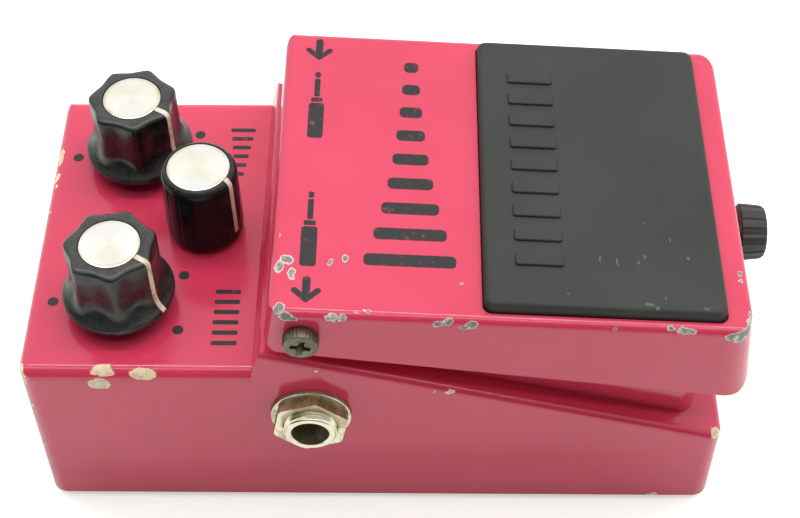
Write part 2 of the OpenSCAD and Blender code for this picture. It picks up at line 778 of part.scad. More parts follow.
module treadle_outer() {
    treadle_width = 2 * treadle_half_width;
    intersection() {
        along_x(treadle_width) rounded_outline(
            [[treadle_rear_y, treadle_rear_height], [treadle_front_y, treadle_front_height],
             [treadle_front_y - draft_front, treadle_front_height - skirt_front],
             [treadle_rear_y + draft_rear, treadle_rear_height - skirt_rear]],
            [edge_radius, edge_radius, skirt_front_round, skirt_rear_round]);
        translate([0, treadle_rear_y, treadle_rear_height]) rotate([treadle_slope, 0, 0])
            along_y(2 * case_length) arch(treadle_width, tall, edge_radius);
        translate([0, treadle_front_y, treadle_front_height]) rotate([-front_draft_angle, 0, 0])
            translate([0, case_length, 0]) linear_extrude(tall, center = true)
                rounded_rectangle(treadle_width, 2 * case_length, treadle_corner_radius);
        translate([0, treadle_rear_y, treadle_rear_height]) rotate([rear_draft_angle, 0, 0])
            translate([0, -case_length, 0]) linear_extrude(tall, center = true)
                rounded_rectangle(treadle_width, 2 * case_length, corner_radius);
    }
}

// The hollow under the treadle runs out below a short rear lip
module treadle_hollow() {
    wall_run = treadle_wall / cos(front_draft_angle);
    front_ceiling_y = treadle_front_y + wall_run;
    along_x(2 * skirt_inner_x) polygon([
        [lip_inner_y, treadle_ceiling_z(lip_inner_y)],
        [front_ceiling_y, treadle_ceiling_z(front_ceiling_y)],
        [treadle_front_at(0) + wall_run, 0],
        [rear_y, 0],
        [rear_y, lip_bottom_z],
        [lip_inner_y, lip_bottom_z]
    ]);
}

// Puts a flat shape on the treadle's sloping top, measured from its rear top edge
module on_treadle_top() {
    translate([0, treadle_rear_y, treadle_rear_height]) rotate([treadle_slope, 0, 0]) children();
}

// Puts a flat shape at the middle of the pad recess, at the level of the treadle's top
module at_pad() {
    on_treadle_top() translate([0, -pad_setback - pad_recess_length / 2, 0]) children();
}

module pad_outline(gap) {
    rounded_rectangle(pad_recess_width - 2 * gap, pad_recess_length - 2 * gap, pad_corner_radius);
}

module treadle_shell() {
    color("crimson") difference() {
        union() {
            difference() {
                treadle_outer();
                treadle_hollow();
            }
            translate([switch_offset, switch_y, spring_seat_z])
                cylinder(d = spring_seat_diameter, h = treadle_ceiling_z(switch_y) + cut - spring_seat_z);
            translate([switch_offset, switch_y, spring_seat_z - spring_peg_length])
                cylinder(d = spring_peg_diameter, h = spring_peg_length + cut);
        }
        at_pad() translate([0, 0, -pad_recess_depth]) linear_extrude(tall) pad_outline(0);
        translate([0, hinge_y, hinge_height])
            rod_x(bush_hole, -treadle_half_width - cut, treadle_half_width + cut);
        translate([0, 0, thumbscrew_height]) {
            rod_y(2 * thumb_spot_radius, front_y - tall, thumb_seat_y);
            rod_y(2 * ring_spot_radius, thumb_inner_face_y, front_y + tall);
            rod_y(thumb_thread_diameter + 2 * hole_clearance, front_y - tall, front_y + tall);
        }
        translate([-switch_offset, switch_y, 0])
            cylinder(d = pusher_stem_diameter + 2 * hole_clearance,
                h = treadle_ceiling_z(switch_y) + pusher_stem_length + hole_clearance);
    }
}

module treadle_pad() {
    pad_width = pad_recess_width - 2 * pad_clearance;
    pad_length = pad_recess_length - 2 * pad_clearance;
    color("dimgray") at_pad() translate([0, 0, -pad_recess_depth]) intersection() {
        linear_extrude(pad_thickness) pad_outline(pad_clearance);
        translate([0, 0, pad_thickness]) along_y(pad_length) arch(pad_width, pad_thickness, pad_edge_radius);
        translate([0, 0, pad_thickness]) along_x(pad_width) arch(pad_length, pad_thickness, pad_edge_radius);
    }
}

module switch_pusher() {
    pusher_bottom_z = plunger_top_z + pusher_gap;
    pusher_seat_z = treadle_ceiling_z(switch_y - pusher_diameter / 2);
    color("black") translate([-switch_offset, switch_y, pusher_bottom_z]) {
        cylinder(d = pusher_diameter, h = pusher_seat_z - pusher_bottom_z);
        cylinder(d = pusher_stem_diameter,
            h = treadle_ceiling_z(switch_y) + pusher_stem_length - pusher_bottom_z);
    }
}

// Thumbscrew

module thumbscrew_head() {
    flute_radius = 0.6;
    flute_circle = thumb_head_end_diameter / 2 - thumb_flute_depth + flute_radius;
    bevel = 0.6;
    dish_diameter = 6;
    dish_depth = 0.3;
    color("black") translate([0, 0, thumbscrew_height]) difference() {
        translate([0, thumb_end_y, 0]) rotate([-90, 0, 0]) rotate_extrude() polygon([
            [0, 0], [thumb_head_end_diameter / 2 - bevel, 0], [thumb_head_end_diameter / 2, bevel],
            [thumb_head_diameter / 2, thumb_head_length], [0, thumb_head_length]
        ]);
        for (i = [0 : thumb_flutes - 1])
            rotate([0, 360 * i / thumb_flutes, 0]) translate([flute_circle, 0, 0])
                rod_y(2 * flute_radius, thumb_end_y - cut, thumb_head_y + cut);
        rod_y(thumb_thread_diameter, thumb_head_y - thumb_head_length / 2, thumb_head_y + cut);
        rod_y(dish_diameter, thumb_end_y - cut, thumb_end_y + dish_depth);
    }
}

module thumbscrew_shank() {
    color("silver") translate([0, 0, thumbscrew_height]) {
        rod_y(thumb_thread_diameter, thumb_head_y - thumb_head_length / 2, thumb_tip_y - thumb_tip_length);
        rod_y(thumb_tip_diameter, thumb_tip_y - thumb_tip_length, thumb_tip_y);
    }
}

module thumbscrew_ring() {
    ring_front_y = thumb_inner_face_y + face_gap;
    color("ivory") translate([0, 0, thumbscrew_height]) difference() {
        rod_y(captive_ring_diameter, ring_front_y, ring_front_y + captive_ring_thickness);
        rod_y(thumb_thread_diameter + 2 * running_clearance, ring_front_y - cut, ring_front_y + tall);
    }
}

module guide_bush() {
    color("ivory") difference() {
        guide_slot(guide_outer_width, island_front_y, bay_front_y);
        guide_slot(guide_inner_width, island_front_y - cut, bay_front_y + cut);
    }
}

// Return spring: one tube along a helix, with a straight run of one wire diameter at each end

RINGS_PER_TURN = 8;
WIRE_SIDES = 6;
spring_radius = (spring_diameter - spring_wire) / 2;
spring_rise = spring_top_z - spring_floor_height - spring_wire;
spring_steps = spring_turns * RINGS_PER_TURN;

function helix_point(step) = [
    spring_radius * cos(360 * step / RINGS_PER_TURN),
    spring_radius * sin(360 * step / RINGS_PER_TURN),
    spring_wire / 2 + spring_rise * step / spring_steps
];
function helix_heading(step) = [-sin(360 * step / RINGS_PER_TURN), cos(360 * step / RINGS_PER_TURN), 0];

spring_path = concat(
    [helix_point(0) - spring_wire * helix_heading(0)],
    [for (step = [0 : spring_steps]) helix_point(step)],
    [helix_point(spring_steps) + spring_wire * helix_heading(spring_steps)]
);
spring_outward = concat(
    [unit([helix_point(0)[0], helix_point(0)[1], 0])],
    [for (step = [0 : spring_steps]) unit([helix_point(step)[0], helix_point(step)[1], 0])],
    [unit([helix_point(spring_steps)[0], helix_point(spring_steps)[1], 0])]
);
spring_last = len(spring_path) - 1;
spring_gap = min([for (i = [0 : spring_last], j = [i + RINGS_PER_TURN / 2 : spring_last])
    norm(spring_path[i] - spring_path[j])]) - spring_wire;

function wire_ring(i) = [for (side = [0 : WIRE_SIDES - 1]) let (turn = 360 * side / WIRE_SIDES)
    spring_path[i] + spring_wire / 2 * (cos(turn) * spring_outward[i] + [0, 0, sin(turn)])];
function wall_faces(ring_index) = [for (side = [0 : WIRE_SIDES - 1])
    let (a = ring_index * WIRE_SIDES + side, b = ring_index * WIRE_SIDES + (side + 1) % WIRE_SIDES)
    each [[a, a + WIRE_SIDES, b], [b, a + WIRE_SIDES, b + WIRE_SIDES]]];
function end_faces(first, flip) = [for (side = [1 : WIRE_SIDES - 2])
    flip ? [first, first + side + 1, first + side] : [first, first + side, first + side + 1]];

module return_spring() {
    echo(str("return spring: least gap to itself ", spring_gap, " mm"));
    color("silver") translate([switch_offset, switch_y, spring_floor_height]) polyhedron(
        points = [for (i = [0 : spring_last]) each wire_ring(i)],
        faces = concat(
            [for (i = [0 : spring_last - 1]) each wall_faces(i)],
            end_faces(0, false),
            end_faces(spring_last * WIRE_SIDES, true)));
}

// The cup on top of the spring, which the treadle's peg goes through
module spring_cup() {
    color("silver") translate([switch_offset, switch_y, spring_cup_top_z]) mirror([0, 0, 1]) {
        ring(spring_cup_diameter, spring_peg_diameter + spring_peg_gap, spring_cup_thickness);
        ring(spring_cup_diameter, spring_cup_inner, spring_cup_thickness + spring_cup_skirt);
    }
}

// Foot switch

module switch_body() {
    color("dimgray") translate([-switch_offset, switch_y, 0]) difference() {
        translate([0, 0, roof_z - switch_depth / 2])
            cube([switch_side, switch_side, switch_depth], center = true);
        translate([0, 0, plunger_bottom_z - switch_travel_room]) cylinder(d = plunger_hole, h = tall);
    }
}

module switch_plunger() {
    color("white") translate([-switch_offset, switch_y, plunger_bottom_z])
        cylinder(d = plunger_diameter, h = plunger_top_z - plunger_bottom_z);
}

module switch_board() {
    color("darkgreen") translate([-switch_offset, switch_y, switch_board_z]) difference() {
        linear_extrude(board_thickness)
            square([2 * switch_post_offset + switch_post_diameter, switch_side + 2 * switch_board_margin],
                center = true);
        for (x = [-1, 1])
            translate([x * switch_post_offset, 0, -cut])
                cylinder(d = switch_screw_diameter + 4 * hole_clearance, h = board_thickness + 2 * cut);
    }
}

module switch_screws() {
    color("silver") for (x = [-1, 1])
        translate([-switch_offset + x * switch_post_offset, switch_y, switch_board_z]) {
            translate([0, 0, -switch_screw_head_height])
                cylinder(d = switch_screw_head_diameter, h = switch_screw_head_height);
            cylinder(d = switch_screw_diameter, h = board_thickness + switch_screw_length);
        }
}

// Battery

module battery() {
    terminal_diameter = 6;
    battery_corner_radius = 2;
    color("goldenrod") translate([-terminal_height / 2, bay_middle_y, bay_floor_height + battery_floor_gap]) {
        translate([0, 0, battery_thickness / 2]) along_x(battery_length)
            rounded_rectangle(battery_width, battery_thickness, battery_corner_radius);
        for (side = [-1, 1])
            translate([0, side * battery_width / 4, battery_thickness / 2])
                rod_x(terminal_diameter, battery_length / 2, battery_length / 2 + terminal_height);
    }
}

// Knobs, each standing over its control with the pointer along X before it is turned to rest

module at_control(index) {
    translate([CONTROLS[index][0], CONTROLS[index][1], panel_height]) rotate(pointer_rest) children();
}

// Half section of a skirted knob, shrunk by an inset
module skirted_profile(inset) {
    rim_radius = skirt_diameter / 2 - inset;
    grip_radius = grip_diameter / 2 - inset;
    rim_top = outer_knob_gap + skirt_rim - inset;
    flare_top = flare_height - inset;
    top = outer_knob_height - inset;
    polygon([
        [0, outer_knob_gap], [rim_radius, outer_knob_gap], [rim_radius, rim_top],
        [(rim_radius + 2 * grip_radius) / 3, (2 * rim_top + flare_top) / 3],
        [grip_radius, flare_top], [grip_radius, top - knob_bevel],
        [grip_radius - knob_bevel, top], [0, top]
    ]);
}

module plain_profile(inset) {
    foot_radius = middle_knob_diameter / 2 - inset;
    top_radius = middle_knob_top_diameter / 2 - inset;
    top = middle_knob_height - inset;
    polygon([
        [0, middle_knob_gap], [foot_radius, middle_knob_gap], [top_radius, top - knob_bevel],
        [top_radius - knob_bevel, top], [0, top]
    ]);
}

// The band under the knob's skin, from the cap's edge out and down, as wide as the pointer
module pointer_band(width, cap_diameter, gap, proud) {
    rotate([90, 0, 0]) linear_extrude(width, center = true) difference() {
        children(0);
        children(1);
        square([cap_diameter / 2 + cap_margin, tall]);
        translate([0, -proud]) square([tall, gap + proud]);
    }
}

module knob_cuts(cap_diameter, top) {
    translate([0, 0, top - cap_thickness]) cylinder(d = cap_diameter + 2 * hole_clearance, h = tall);
    cylinder(d = pot_shaft_diameter + 2 * hole_clearance, h = pot_shaft_end + shaft_end_gap);
    cylinder(d = knob_hollow_diameter, h = knob_hollow_height);
}

module grip_outline() {
    radius = grip_diameter / 2;
    skin = 0.01;
    chord_distance = sqrt(pow(radius, 2) - pow(flute_width / 2, 2));
    flute_radius = (pow(flute_width / 2, 2) + pow(flute_depth, 2)) / (2 * flute_depth);
    difference() {
        circle(radius + skin);
        for (i = [0 : grip_lobes - 1])
            rotate(360 * (i + 0.5) / grip_lobes)
                translate([chord_distance - flute_depth + flute_radius, 0]) circle(flute_radius);
    }
}

module skirted_knob(index) {
    color([0.06, 0.06, 0.06]) at_control(index) difference() {
        intersection() {
            rotate_extrude() skirted_profile(0);
            union() {
                translate([0, 0, flare_height]) linear_extrude(tall) grip_outline();
                cylinder(d = skirt_diameter + cut, h = flare_height);
            }
        }
        knob_cuts(outer_cap_diameter, outer_knob_height);
        pointer_band(pointer_width, outer_cap_diameter, outer_knob_gap, pointer_cut) {
            skirted_profile(-pointer_cut);
            skirted_profile(pointer_depth);
        }
    }
}

module plain_knob(index) {
    groove_circle = middle_knob_diameter / 2 + 0.1;
    smooth_top = 1.5;
    color([0.06, 0.06, 0.06]) at_control(index) difference() {
        rotate_extrude() plain_profile(0);
        for (i = [0 : middle_grooves - 1])
            rotate(360 * (i + 0.5) / middle_grooves)
                translate([groove_circle, 0, 0])
                    cylinder(r = middle_groove_radius, h = middle_knob_height - smooth_top);
        knob_cuts(middle_cap_diameter, middle_knob_height);
        pointer_band(pointer_width, middle_cap_diameter, middle_knob_gap, pointer_cut) {
            plain_profile(-pointer_cut);
            plain_profile(pointer_depth);
        }
    }
}

module skirted_pointer(index) {
    color("ivory") at_control(index) pointer_band(pointer_body_width, outer_cap_diameter, outer_knob_gap, 0) {
        skirted_profile(0);
        skirted_profile(pointer_depth - pointer_seat_gap);
    }
}

module plain_pointer(index) {
    color("ivory") at_control(index) pointer_band(pointer_body_width, middle_cap_diameter, middle_knob_gap, 0) {
        plain_profile(0);
        plain_profile(pointer_depth - pointer_seat_gap);
    }
}

module knob_cap(index, diameter, height) {
    color("gainsboro") at_control(index) translate([0, 0, height - cap_thickness])
        cylinder(d = diameter, h = cap_thickness);
}

module left_knob() { skirted_knob(0); }
module middle_knob() { plain_knob(1); }
module right_knob() { skirted_knob(2); }
module left_knob_cap() { knob_cap(0, outer_cap_diameter, outer_knob_height); }
module middle_knob_cap() { knob_cap(1, middle_cap_diameter, middle_knob_height); }
module right_knob_cap() { knob_cap(2, outer_cap_diameter, outer_knob_height); }
module left_knob_pointer() { skirted_pointer(0); }
module middle_knob_pointer() { plain_pointer(1); }
module right_knob_pointer() { skirted_pointer(2); }

// Potentiometers

pot_floor = 2;
pot_shaft_foot = -case_wall - pot_thickness + pot_floor;

module pot_shaft(index) {
    color("silver") at_control(index) translate([0, 0, pot_shaft_foot])
        cylinder(d = pot_shaft_diameter, h = pot_shaft_end - pot_shaft_foot);
}

module pot_body(index) {
    color("slategray") at_control(index) difference() {
        union() {
            translate([0, 0, -case_wall - pot_thickness]) cylinder(d = pot_diameter, h = pot_thickness);
            translate([0, 0, -case_wall - cut])
                cylinder(d = pot_bush_diameter, h = case_wall + pot_bush_proud + cut);
        }
        translate([0, 0, pot_shaft_foot - shaft_end_gap])
            cylinder(d = pot_shaft_diameter + 2 * running_clearance, h = tall);
    }
}

module pot_nuts() {
    color("silver") for (index = [0 : 2]) at_control(index) translate([0, 0, pot_washer_thickness])
        difference() {
            cylinder(d = pot_nut_flats / cos(30), h = pot_nut_thickness, $fn = 6);
            translate([0, 0, -cut])
                cylinder(d = pot_bush_diameter + 2 * hole_clearance, h = pot_nut_thickness + 2 * cut);
        }
}

module pot_washers() {
    color("silver") for (index = [0 : 2]) at_control(index)
        ring(pot_washer_diameter, pot_bush_diameter + 2 * hole_clearance, pot_washer_thickness);
}

module left_pot_shaft() { pot_shaft(0); }
module middle_pot_shaft() { pot_shaft(1); }
module right_pot_shaft() { pot_shaft(2); }
module left_pot_body() { pot_body(0); }
module middle_pot_body() { pot_body(1); }
module right_pot_body() { pot_body(2); }

// Indicator

module led_lens() {
    lens_foot = -case_wall - led_lens_tail;
    color("red") translate([0, led_y, panel_height]) {
        translate([0, 0, lens_foot]) cylinder(d = led_diameter, h = led_proud - led_diameter / 2 - lens_foot);
        translate([0, 0, led_proud - led_diameter / 2]) sphere(d = led_diameter);
    }
}

module led_holder() {
    color("black") translate([0, led_y, panel_height]) difference() {
        union() {
            cylinder(d = led_rim_diameter, h = led_rim_height);
            translate([0, 0, -case_wall - led_sleeve_tail])
                cylinder(d = led_sleeve_diameter, h = case_wall + led_sleeve_tail + led_rim_height);
        }
        translate([0, 0, -tall / 2])
            cylinder(d = led_diameter + 2 * running_clearance, h = tall);
    }
}

// Side jacks, drawn for the right-hand side

module at_jack(side) {
    mirror([side < 0 ? 1 : 0, 0, 0]) translate([0, jack_y, jack_height]) children();
}

module jack_bush(side) {
    color("silver") at_jack(side) difference() {
        rod_x(jack_bush_diameter, inner_half_width - jack_bush_inside, half_width + jack_bush_proud);
        rod_x(jack_bore, inner_half_width - jack_bush_inside - cut, half_width + jack_bush_proud + cut);
    }
}

module jack_body(side) {
    plug_room = 0.3;
    color("black") at_jack(side) difference() {
        translate([(jack_body_inner_x + inner_half_width) / 2, 0, 0])
            cube([jack_body_length, jack_body_side, jack_body_side], center = true);
        rod_x(jack_bush_diameter + 2 * hole_clearance,
            inner_half_width - jack_bush_inside - hole_clearance, half_width);
        rod_x(jack_bore + 2 * plug_room, jack_body_inner_x - cut, half_width);
    }
}

module jack_nut(side) {
    nut_x = half_width + jack_washer_thickness;
    color("silver") at_jack(side) difference() {
        translate([nut_x, 0, 0]) rotate([0, 90, 0])
            cylinder(d = jack_nut_corners, h = jack_nut_thickness, $fn = 6);
        rod_x(jack_bush_diameter + 2 * hole_clearance, nut_x - cut, nut_x + jack_nut_thickness + cut);
    }
}

module jack_washer(side) {
    color("silver") at_jack(side) difference() {
        rod_x(jack_washer_diameter, half_width, half_width + jack_washer_thickness);
        rod_x(jack_bush_diameter + 2 * hole_clearance,
            half_width - cut, half_width + jack_washer_thickness + cut);
    }
}

module output_jack_bush() { jack_bush(-1); }
module output_jack_body() { jack_body(-1); }
module output_jack_nut() { jack_nut(-1); }
module output_jack_washer() { jack_washer(-1); }
module input_jack_bush() { jack_bush(1); }
module input_jack_body() { jack_body(1); }
module input_jack_nut() { jack_nut(1); }
module input_jack_washer() { jack_washer(1); }

// Power inlet

inlet_pin_root = 3;
inlet_pin_recess = 1;

module power_inlet() {
    wall_inner_y = rear_y - case_wall;
    color("black") translate([0, 0, inlet_height]) difference() {
        union() {
            rod_y(inlet_collar_diameter, wall_inner_y - cut, rear_y);
            translate([0, wall_inner_y - inlet_body_depth / 2, 0])
                cube([inlet_body_side, inlet_body_depth, inlet_body_side], center = true);
        }
        rod_y(inlet_socket_diameter, rear_y - inlet_socket_depth, rear_y + cut);
        rod_y(inlet_pin_diameter, rear_y - inlet_socket_depth - inlet_pin_root, rear_y);
    }
}

module power_inlet_pin() {
    color("silver") translate([0, 0, inlet_height])
        rod_y(inlet_pin_diameter, rear_y - inlet_socket_depth - inlet_pin_root, rear_y - inlet_pin_recess);
}

// Circuit board

module main_board() {
    color("darkgreen") translate([0, (board_front_y + board_rear_y) / 2, board_height])
        linear_extrude(board_thickness)
            square([2 * board_half_width, board_rear_y - board_front_y], center = true);
}

module board_spacers() {
    color("ivory") for (x = [-1, 1], y = [board_front_y + spacer_inset, board_rear_y - spacer_inset])
        translate([x * (board_half_width - spacer_inset), y, plate_top_z])
            cylinder(d = spacer_diameter, h = board_height - plate_top_z);
}

// Dual in-line packages: place along the board, place across it and length
CHIPS = [[-34, -10, 19], [-34, 12, 10], [-18, 0, 19], [-4, -12, 10], [-4, 10, 19], [22, 0, 24]];

module board_chips() {
    chip_width = 6.4;
    chip_height = 3.4;
    color("black") for (chip = CHIPS)
        translate([chip[1], chip[0], board_top_z + chip_height / 2])
            cube([chip[2], chip_width, chip_height], center = true);
}

// Electrolytic capacitors: place along the board, place across it, diameter and height
CAPACITORS = [[-44, -16, 6.3, 9], [-44, -6, 5, 8], [-44, 5, 5, 8], [-44, 16, 6.3, 9],
    [33, -16, 6.3, 9], [33, -6, 5, 8], [33, 5, 5, 8], [33, 16, 8, 9]];

module board_capacitors() {
    color("navy") for (part = CAPACITORS)
        translate([part[1], part[0], board_top_z]) cylinder(d = part[2], h = part[3]);
}

case_housing();
bottom_plate();
base_rubber();
bottom_screws();
hinge_screws();
hinge_bushes();
guide_bush();
treadle_shell();
treadle_pad();
switch_pusher();
thumbscrew_head();
thumbscrew_shank();
thumbscrew_ring();
return_spring();
spring_cup();
switch_body();
switch_plunger();
switch_board();
switch_screws();
battery();
left_knob();
left_knob_cap();
left_knob_pointer();
left_pot_shaft();
left_pot_body();
middle_knob();
middle_knob_cap();
middle_knob_pointer();
middle_pot_shaft();
middle_pot_body();
right_knob();
right_knob_cap();
right_knob_pointer();
right_pot_shaft();
right_pot_body();
pot_nuts();
pot_washers();
led_lens();
led_holder();
output_jack_bush();
output_jack_body();
output_jack_nut();
output_jack_washer();
input_jack_bush();
input_jack_body();
input_jack_nut();
input_jack_washer();
power_inlet();
power_inlet_pin();
main_board();
board_spacers();
board_chips();
board_capacitors();
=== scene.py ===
# %% [markdown]
# # A compact delay pedal
# The imported CAD model already has every rigid piece in its place: a die-cast case, a hinged treadle,
# knobs, jacks and the works inside. This lesson gives those pieces their finish and remakes the ones
# whose charm is in small curves: lobed knobs, threaded jacks, a rubber pad and printed marks. We load
# the model first and keep its box.

import math

import bmesh
import bpy
from mathutils import Matrix, Vector


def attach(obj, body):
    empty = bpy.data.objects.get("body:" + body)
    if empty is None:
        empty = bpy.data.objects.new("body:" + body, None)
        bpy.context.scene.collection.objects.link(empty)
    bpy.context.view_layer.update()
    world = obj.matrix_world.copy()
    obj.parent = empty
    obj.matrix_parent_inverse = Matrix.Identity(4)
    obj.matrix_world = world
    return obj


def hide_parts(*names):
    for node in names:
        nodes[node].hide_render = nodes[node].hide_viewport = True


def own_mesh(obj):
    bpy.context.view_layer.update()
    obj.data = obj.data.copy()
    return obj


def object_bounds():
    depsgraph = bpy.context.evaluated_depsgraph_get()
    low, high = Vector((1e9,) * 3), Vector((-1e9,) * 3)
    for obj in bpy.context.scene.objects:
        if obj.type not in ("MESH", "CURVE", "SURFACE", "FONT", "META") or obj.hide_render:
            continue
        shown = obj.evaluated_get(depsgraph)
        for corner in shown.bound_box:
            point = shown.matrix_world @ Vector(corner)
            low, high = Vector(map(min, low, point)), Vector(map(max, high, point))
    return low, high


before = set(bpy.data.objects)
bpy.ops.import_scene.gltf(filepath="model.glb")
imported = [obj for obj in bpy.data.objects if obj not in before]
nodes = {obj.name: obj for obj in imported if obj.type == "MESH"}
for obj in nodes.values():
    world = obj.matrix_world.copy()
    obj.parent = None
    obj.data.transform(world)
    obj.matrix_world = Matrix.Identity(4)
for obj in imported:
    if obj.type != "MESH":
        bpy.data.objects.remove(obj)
cad_low, cad_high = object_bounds()
MM = 0.001
print("pieces from the model:", len(nodes))

# %% [markdown]
# ## The camera
# A photograph's camera can be worked out from its perspective: here it stands to the left of the pedal,
# above it, and looks down by about fifty degrees. Building the camera's matrix from its three
# directions keeps the small roll that a tracking constraint would lose.

# %% Camera
CAMERA_PLACE = Vector((-190.47, -5.89, 265.33)) * MM
CAMERA_YAW = math.radians(0.69)
CAMERA_PITCH = math.radians(-50.89)
CAMERA_ROLL = math.radians(-0.24)
CAMERA_LENS = 74.365
SENSOR_WIDTH = 36.0

looking = Vector((
    math.cos(CAMERA_PITCH) * math.cos(CAMERA_YAW),
    math.cos(CAMERA_PITCH) * math.sin(CAMERA_YAW),
    math.sin(CAMERA_PITCH),
))
level_right = Vector((math.sin(CAMERA_YAW), -math.cos(CAMERA_YAW), 0))
level_up = level_right.cross(looking)
camera_right = level_right * math.cos(CAMERA_ROLL) + level_up * math.sin(CAMERA_ROLL)
camera_up = level_up * math.cos(CAMERA_ROLL) - level_right * math.sin(CAMERA_ROLL)
camera_turn = Matrix((camera_right, camera_up, -looking)).transposed().to_4x4()

camera_data = bpy.data.cameras.new("camera")
camera_data.sensor_width = SENSOR_WIDTH
camera_data.lens = CAMERA_LENS
camera = bpy.data.objects.new("camera", camera_data)
camera.matrix_world = Matrix.Translation(CAMERA_PLACE) @ camera_turn
bpy.context.scene.collection.objects.link(camera)
bpy.context.scene.camera = camera
print("camera looks along", [round(x, 3) for x in looking])

# %% [markdown]
# ## Node helpers
# Every finish below is a small node tree. One helper starts a material and sets plain numbers straight
# on the shader, and one adds a node, sets its inputs and links what is already a socket. The others are
# short names for the nodes that come back in almost every finish.


# %% Node helpers
def start_finish(name, colour, roughness, metallic=0.0):
    material = bpy.data.materials.new(name)
    material.use_nodes = True
    tree = material.node_tree
    shader = tree.nodes["Principled BSDF"]
    shader.inputs["Base Color"].default_value = (*colour, 1.0)
    shader.inputs["Roughness"].default_value = roughness
    shader.inputs["Metallic"].default_value = metallic
    return material, tree, shader


def add_node(tree, kind, inputs=None, **settings):
    node = tree.nodes.new(kind)
    for key, value in settings.items():
        setattr(node, key, value)
    for key, value in (inputs or {}).items():
        if isinstance(value, bpy.types.NodeSocket):
            tree.links.new(value, node.inputs[key])
        else:
            node.inputs[key].default_value = value
    return node


def piece_coordinates(tree):
    return add_node(tree, "ShaderNodeTexCoord").outputs["Object"]


def math_node(tree, operation, first, second=0.0):
    return add_node(tree, "ShaderNodeMath", {0: first, 1: second}, operation=operation).outputs[0]


def vector_node(tree, operation, first, second=(0.0, 0.0, 0.0)):
    return add_node(tree, "ShaderNodeVectorMath", {0: first, 1: second}, operation=operation)


def remap(tree, value, low, high, start=0.0, end=1.0):
    return add_node(
        tree, "ShaderNodeMapRange",
        {"Value": value, "From Min": low, "From Max": high, "To Min": start, "To Max": end},
    ).outputs["Result"]


def mix_colour(tree, factor, first, second):
    node = add_node(tree, "ShaderNodeMix", data_type="RGBA")
    for key, value in ((0, factor), (6, first), (7, second)):
        if isinstance(value, bpy.types.NodeSocket):
            tree.links.new(value, node.inputs[key])
        elif key == 0:
            node.inputs[key].default_value = value
        else:
            node.inputs[key].default_value = (*value, 1.0)
    return node.outputs[2]


def grain(tree, coordinates, scale, detail=3.0, roughness=0.55):
    return add_node(
        tree, "ShaderNodeTexNoise",
        {"Vector": coordinates, "Scale": scale, "Detail": detail, "Roughness": roughness},
    )


def bump(tree, shader, height, strength, distance):
    node = add_node(tree, "ShaderNodeBump", {"Height": height, "Strength": strength, "Distance": distance})
    tree.links.new(node.outputs["Normal"], shader.inputs["Normal"])


print("node helpers ready")

# %% [markdown]
# ## Floor, light and background
# The pedal lies on a white table in a white room, and the camera stands in the dark part of it. So the
# dome of light is bright overhead and beyond the pedal, and dim on the camera's side. Glossy paint
# shows that: flat faces mirror the white table or ceiling and look paler, while rounded edges mirror
# the dim side and look deeper. Two long strip lamps overhead draw the thin bright lines along those
# rounded edges. Camera rays see plain white, and the floor glows a little for them, so that only soft
# contact shadows are left.

# %% The floor
FLOOR_HALF = 3.0
FLOOR_WHITE = (0.90, 0.97, 0.92)
FLOOR_ROUGHNESS = 0.9
FLOOR_GLOW = 0.54
GLOW_TINT = (0.97, 1.0, 0.96, 1.0)
MIRRORED_GLOW = 0.2


def seen_directly(tree):
    path = add_node(tree, "ShaderNodeLightPath")
    shown = math_node(tree, "MAXIMUM", path.outputs["Is Camera Ray"], path.outputs["Is Transmission Ray"])
    return shown, path.outputs["Is Glossy Ray"]


def make_floor():
    half = FLOOR_HALF
    corners = [(-half, -half), (half, -half), (half, half), (-half, half)]
    mesh = bpy.data.meshes.new("floor")
    mesh.from_pydata([(x, y, cad_low.z) for x, y in corners], [], [(0, 1, 2, 3)])
    floor = bpy.data.objects.new("floor", mesh)
    bpy.context.scene.collection.objects.link(floor)
    material, tree, shader = start_finish("white_table", FLOOR_WHITE, FLOOR_ROUGHNESS)
    shader.inputs["Specular IOR Level"].default_value = 0.0
    shown, mirrored = seen_directly(tree)
    glow = math_node(
        tree, "MAXIMUM", math_node(tree, "MULTIPLY", shown, FLOOR_GLOW),
        math_node(tree, "MULTIPLY", mirrored, MIRRORED_GLOW),
    )
    shader.inputs["Emission Color"].default_value = GLOW_TINT
    tree.links.new(glow, shader.inputs["Emission Strength"])
    mesh.materials.append(material)


make_floor()
print("white table laid at height", round(cad_low.z, 4))

# %% The dome of light
DOME_BRIGHT = 1.6
DOME_DIM = 0.05
DOME_LEAN = (0.80, -0.28, 0.53)
DOME_FADE = (-0.10, 0.80)
MIRRORED_FADE = (-0.15, 0.35)


def make_dome():
    world = bpy.data.worlds.new("white_room")
    bpy.context.scene.world = world
    world.use_nodes = True
    tree = world.node_tree
    background = tree.nodes["Background"]
    background.inputs["Color"].default_value = (1.0, 1.0, 1.0, 1.0)
    heading = add_node(tree, "ShaderNodeTexCoord").outputs["Generated"]
    lean = vector_node(tree, "DOT_PRODUCT", heading, DOME_LEAN).outputs["Value"]
    dome = remap(tree, lean, *DOME_FADE, DOME_DIM, DOME_BRIGHT)
    backdrop = remap(tree, lean, *MIRRORED_FADE, DOME_DIM, 1.0)
    shown, mirrored = seen_directly(tree)
    lit = remap(tree, mirrored, 0.0, 1.0, dome, backdrop)
    strength = remap(tree, shown, 0.0, 1.0, lit, 1.0)
    tree.links.new(strength, background.inputs["Strength"])


make_dome()
print("dome is brightest towards", DOME_LEAN)

# %% The strip lamps
STRIP_SIZE = (1.2, 0.05)
STRIP_AIM = (0.0, 0.0, 0.03)
FAR_STRIP_PLACE = (0.14, 0.0, 0.90)
FAR_STRIP_POWER = 3.0
NEAR_STRIP_PLACE = (-0.28, 0.0, 0.86)
NEAR_STRIP_POWER = 1.2


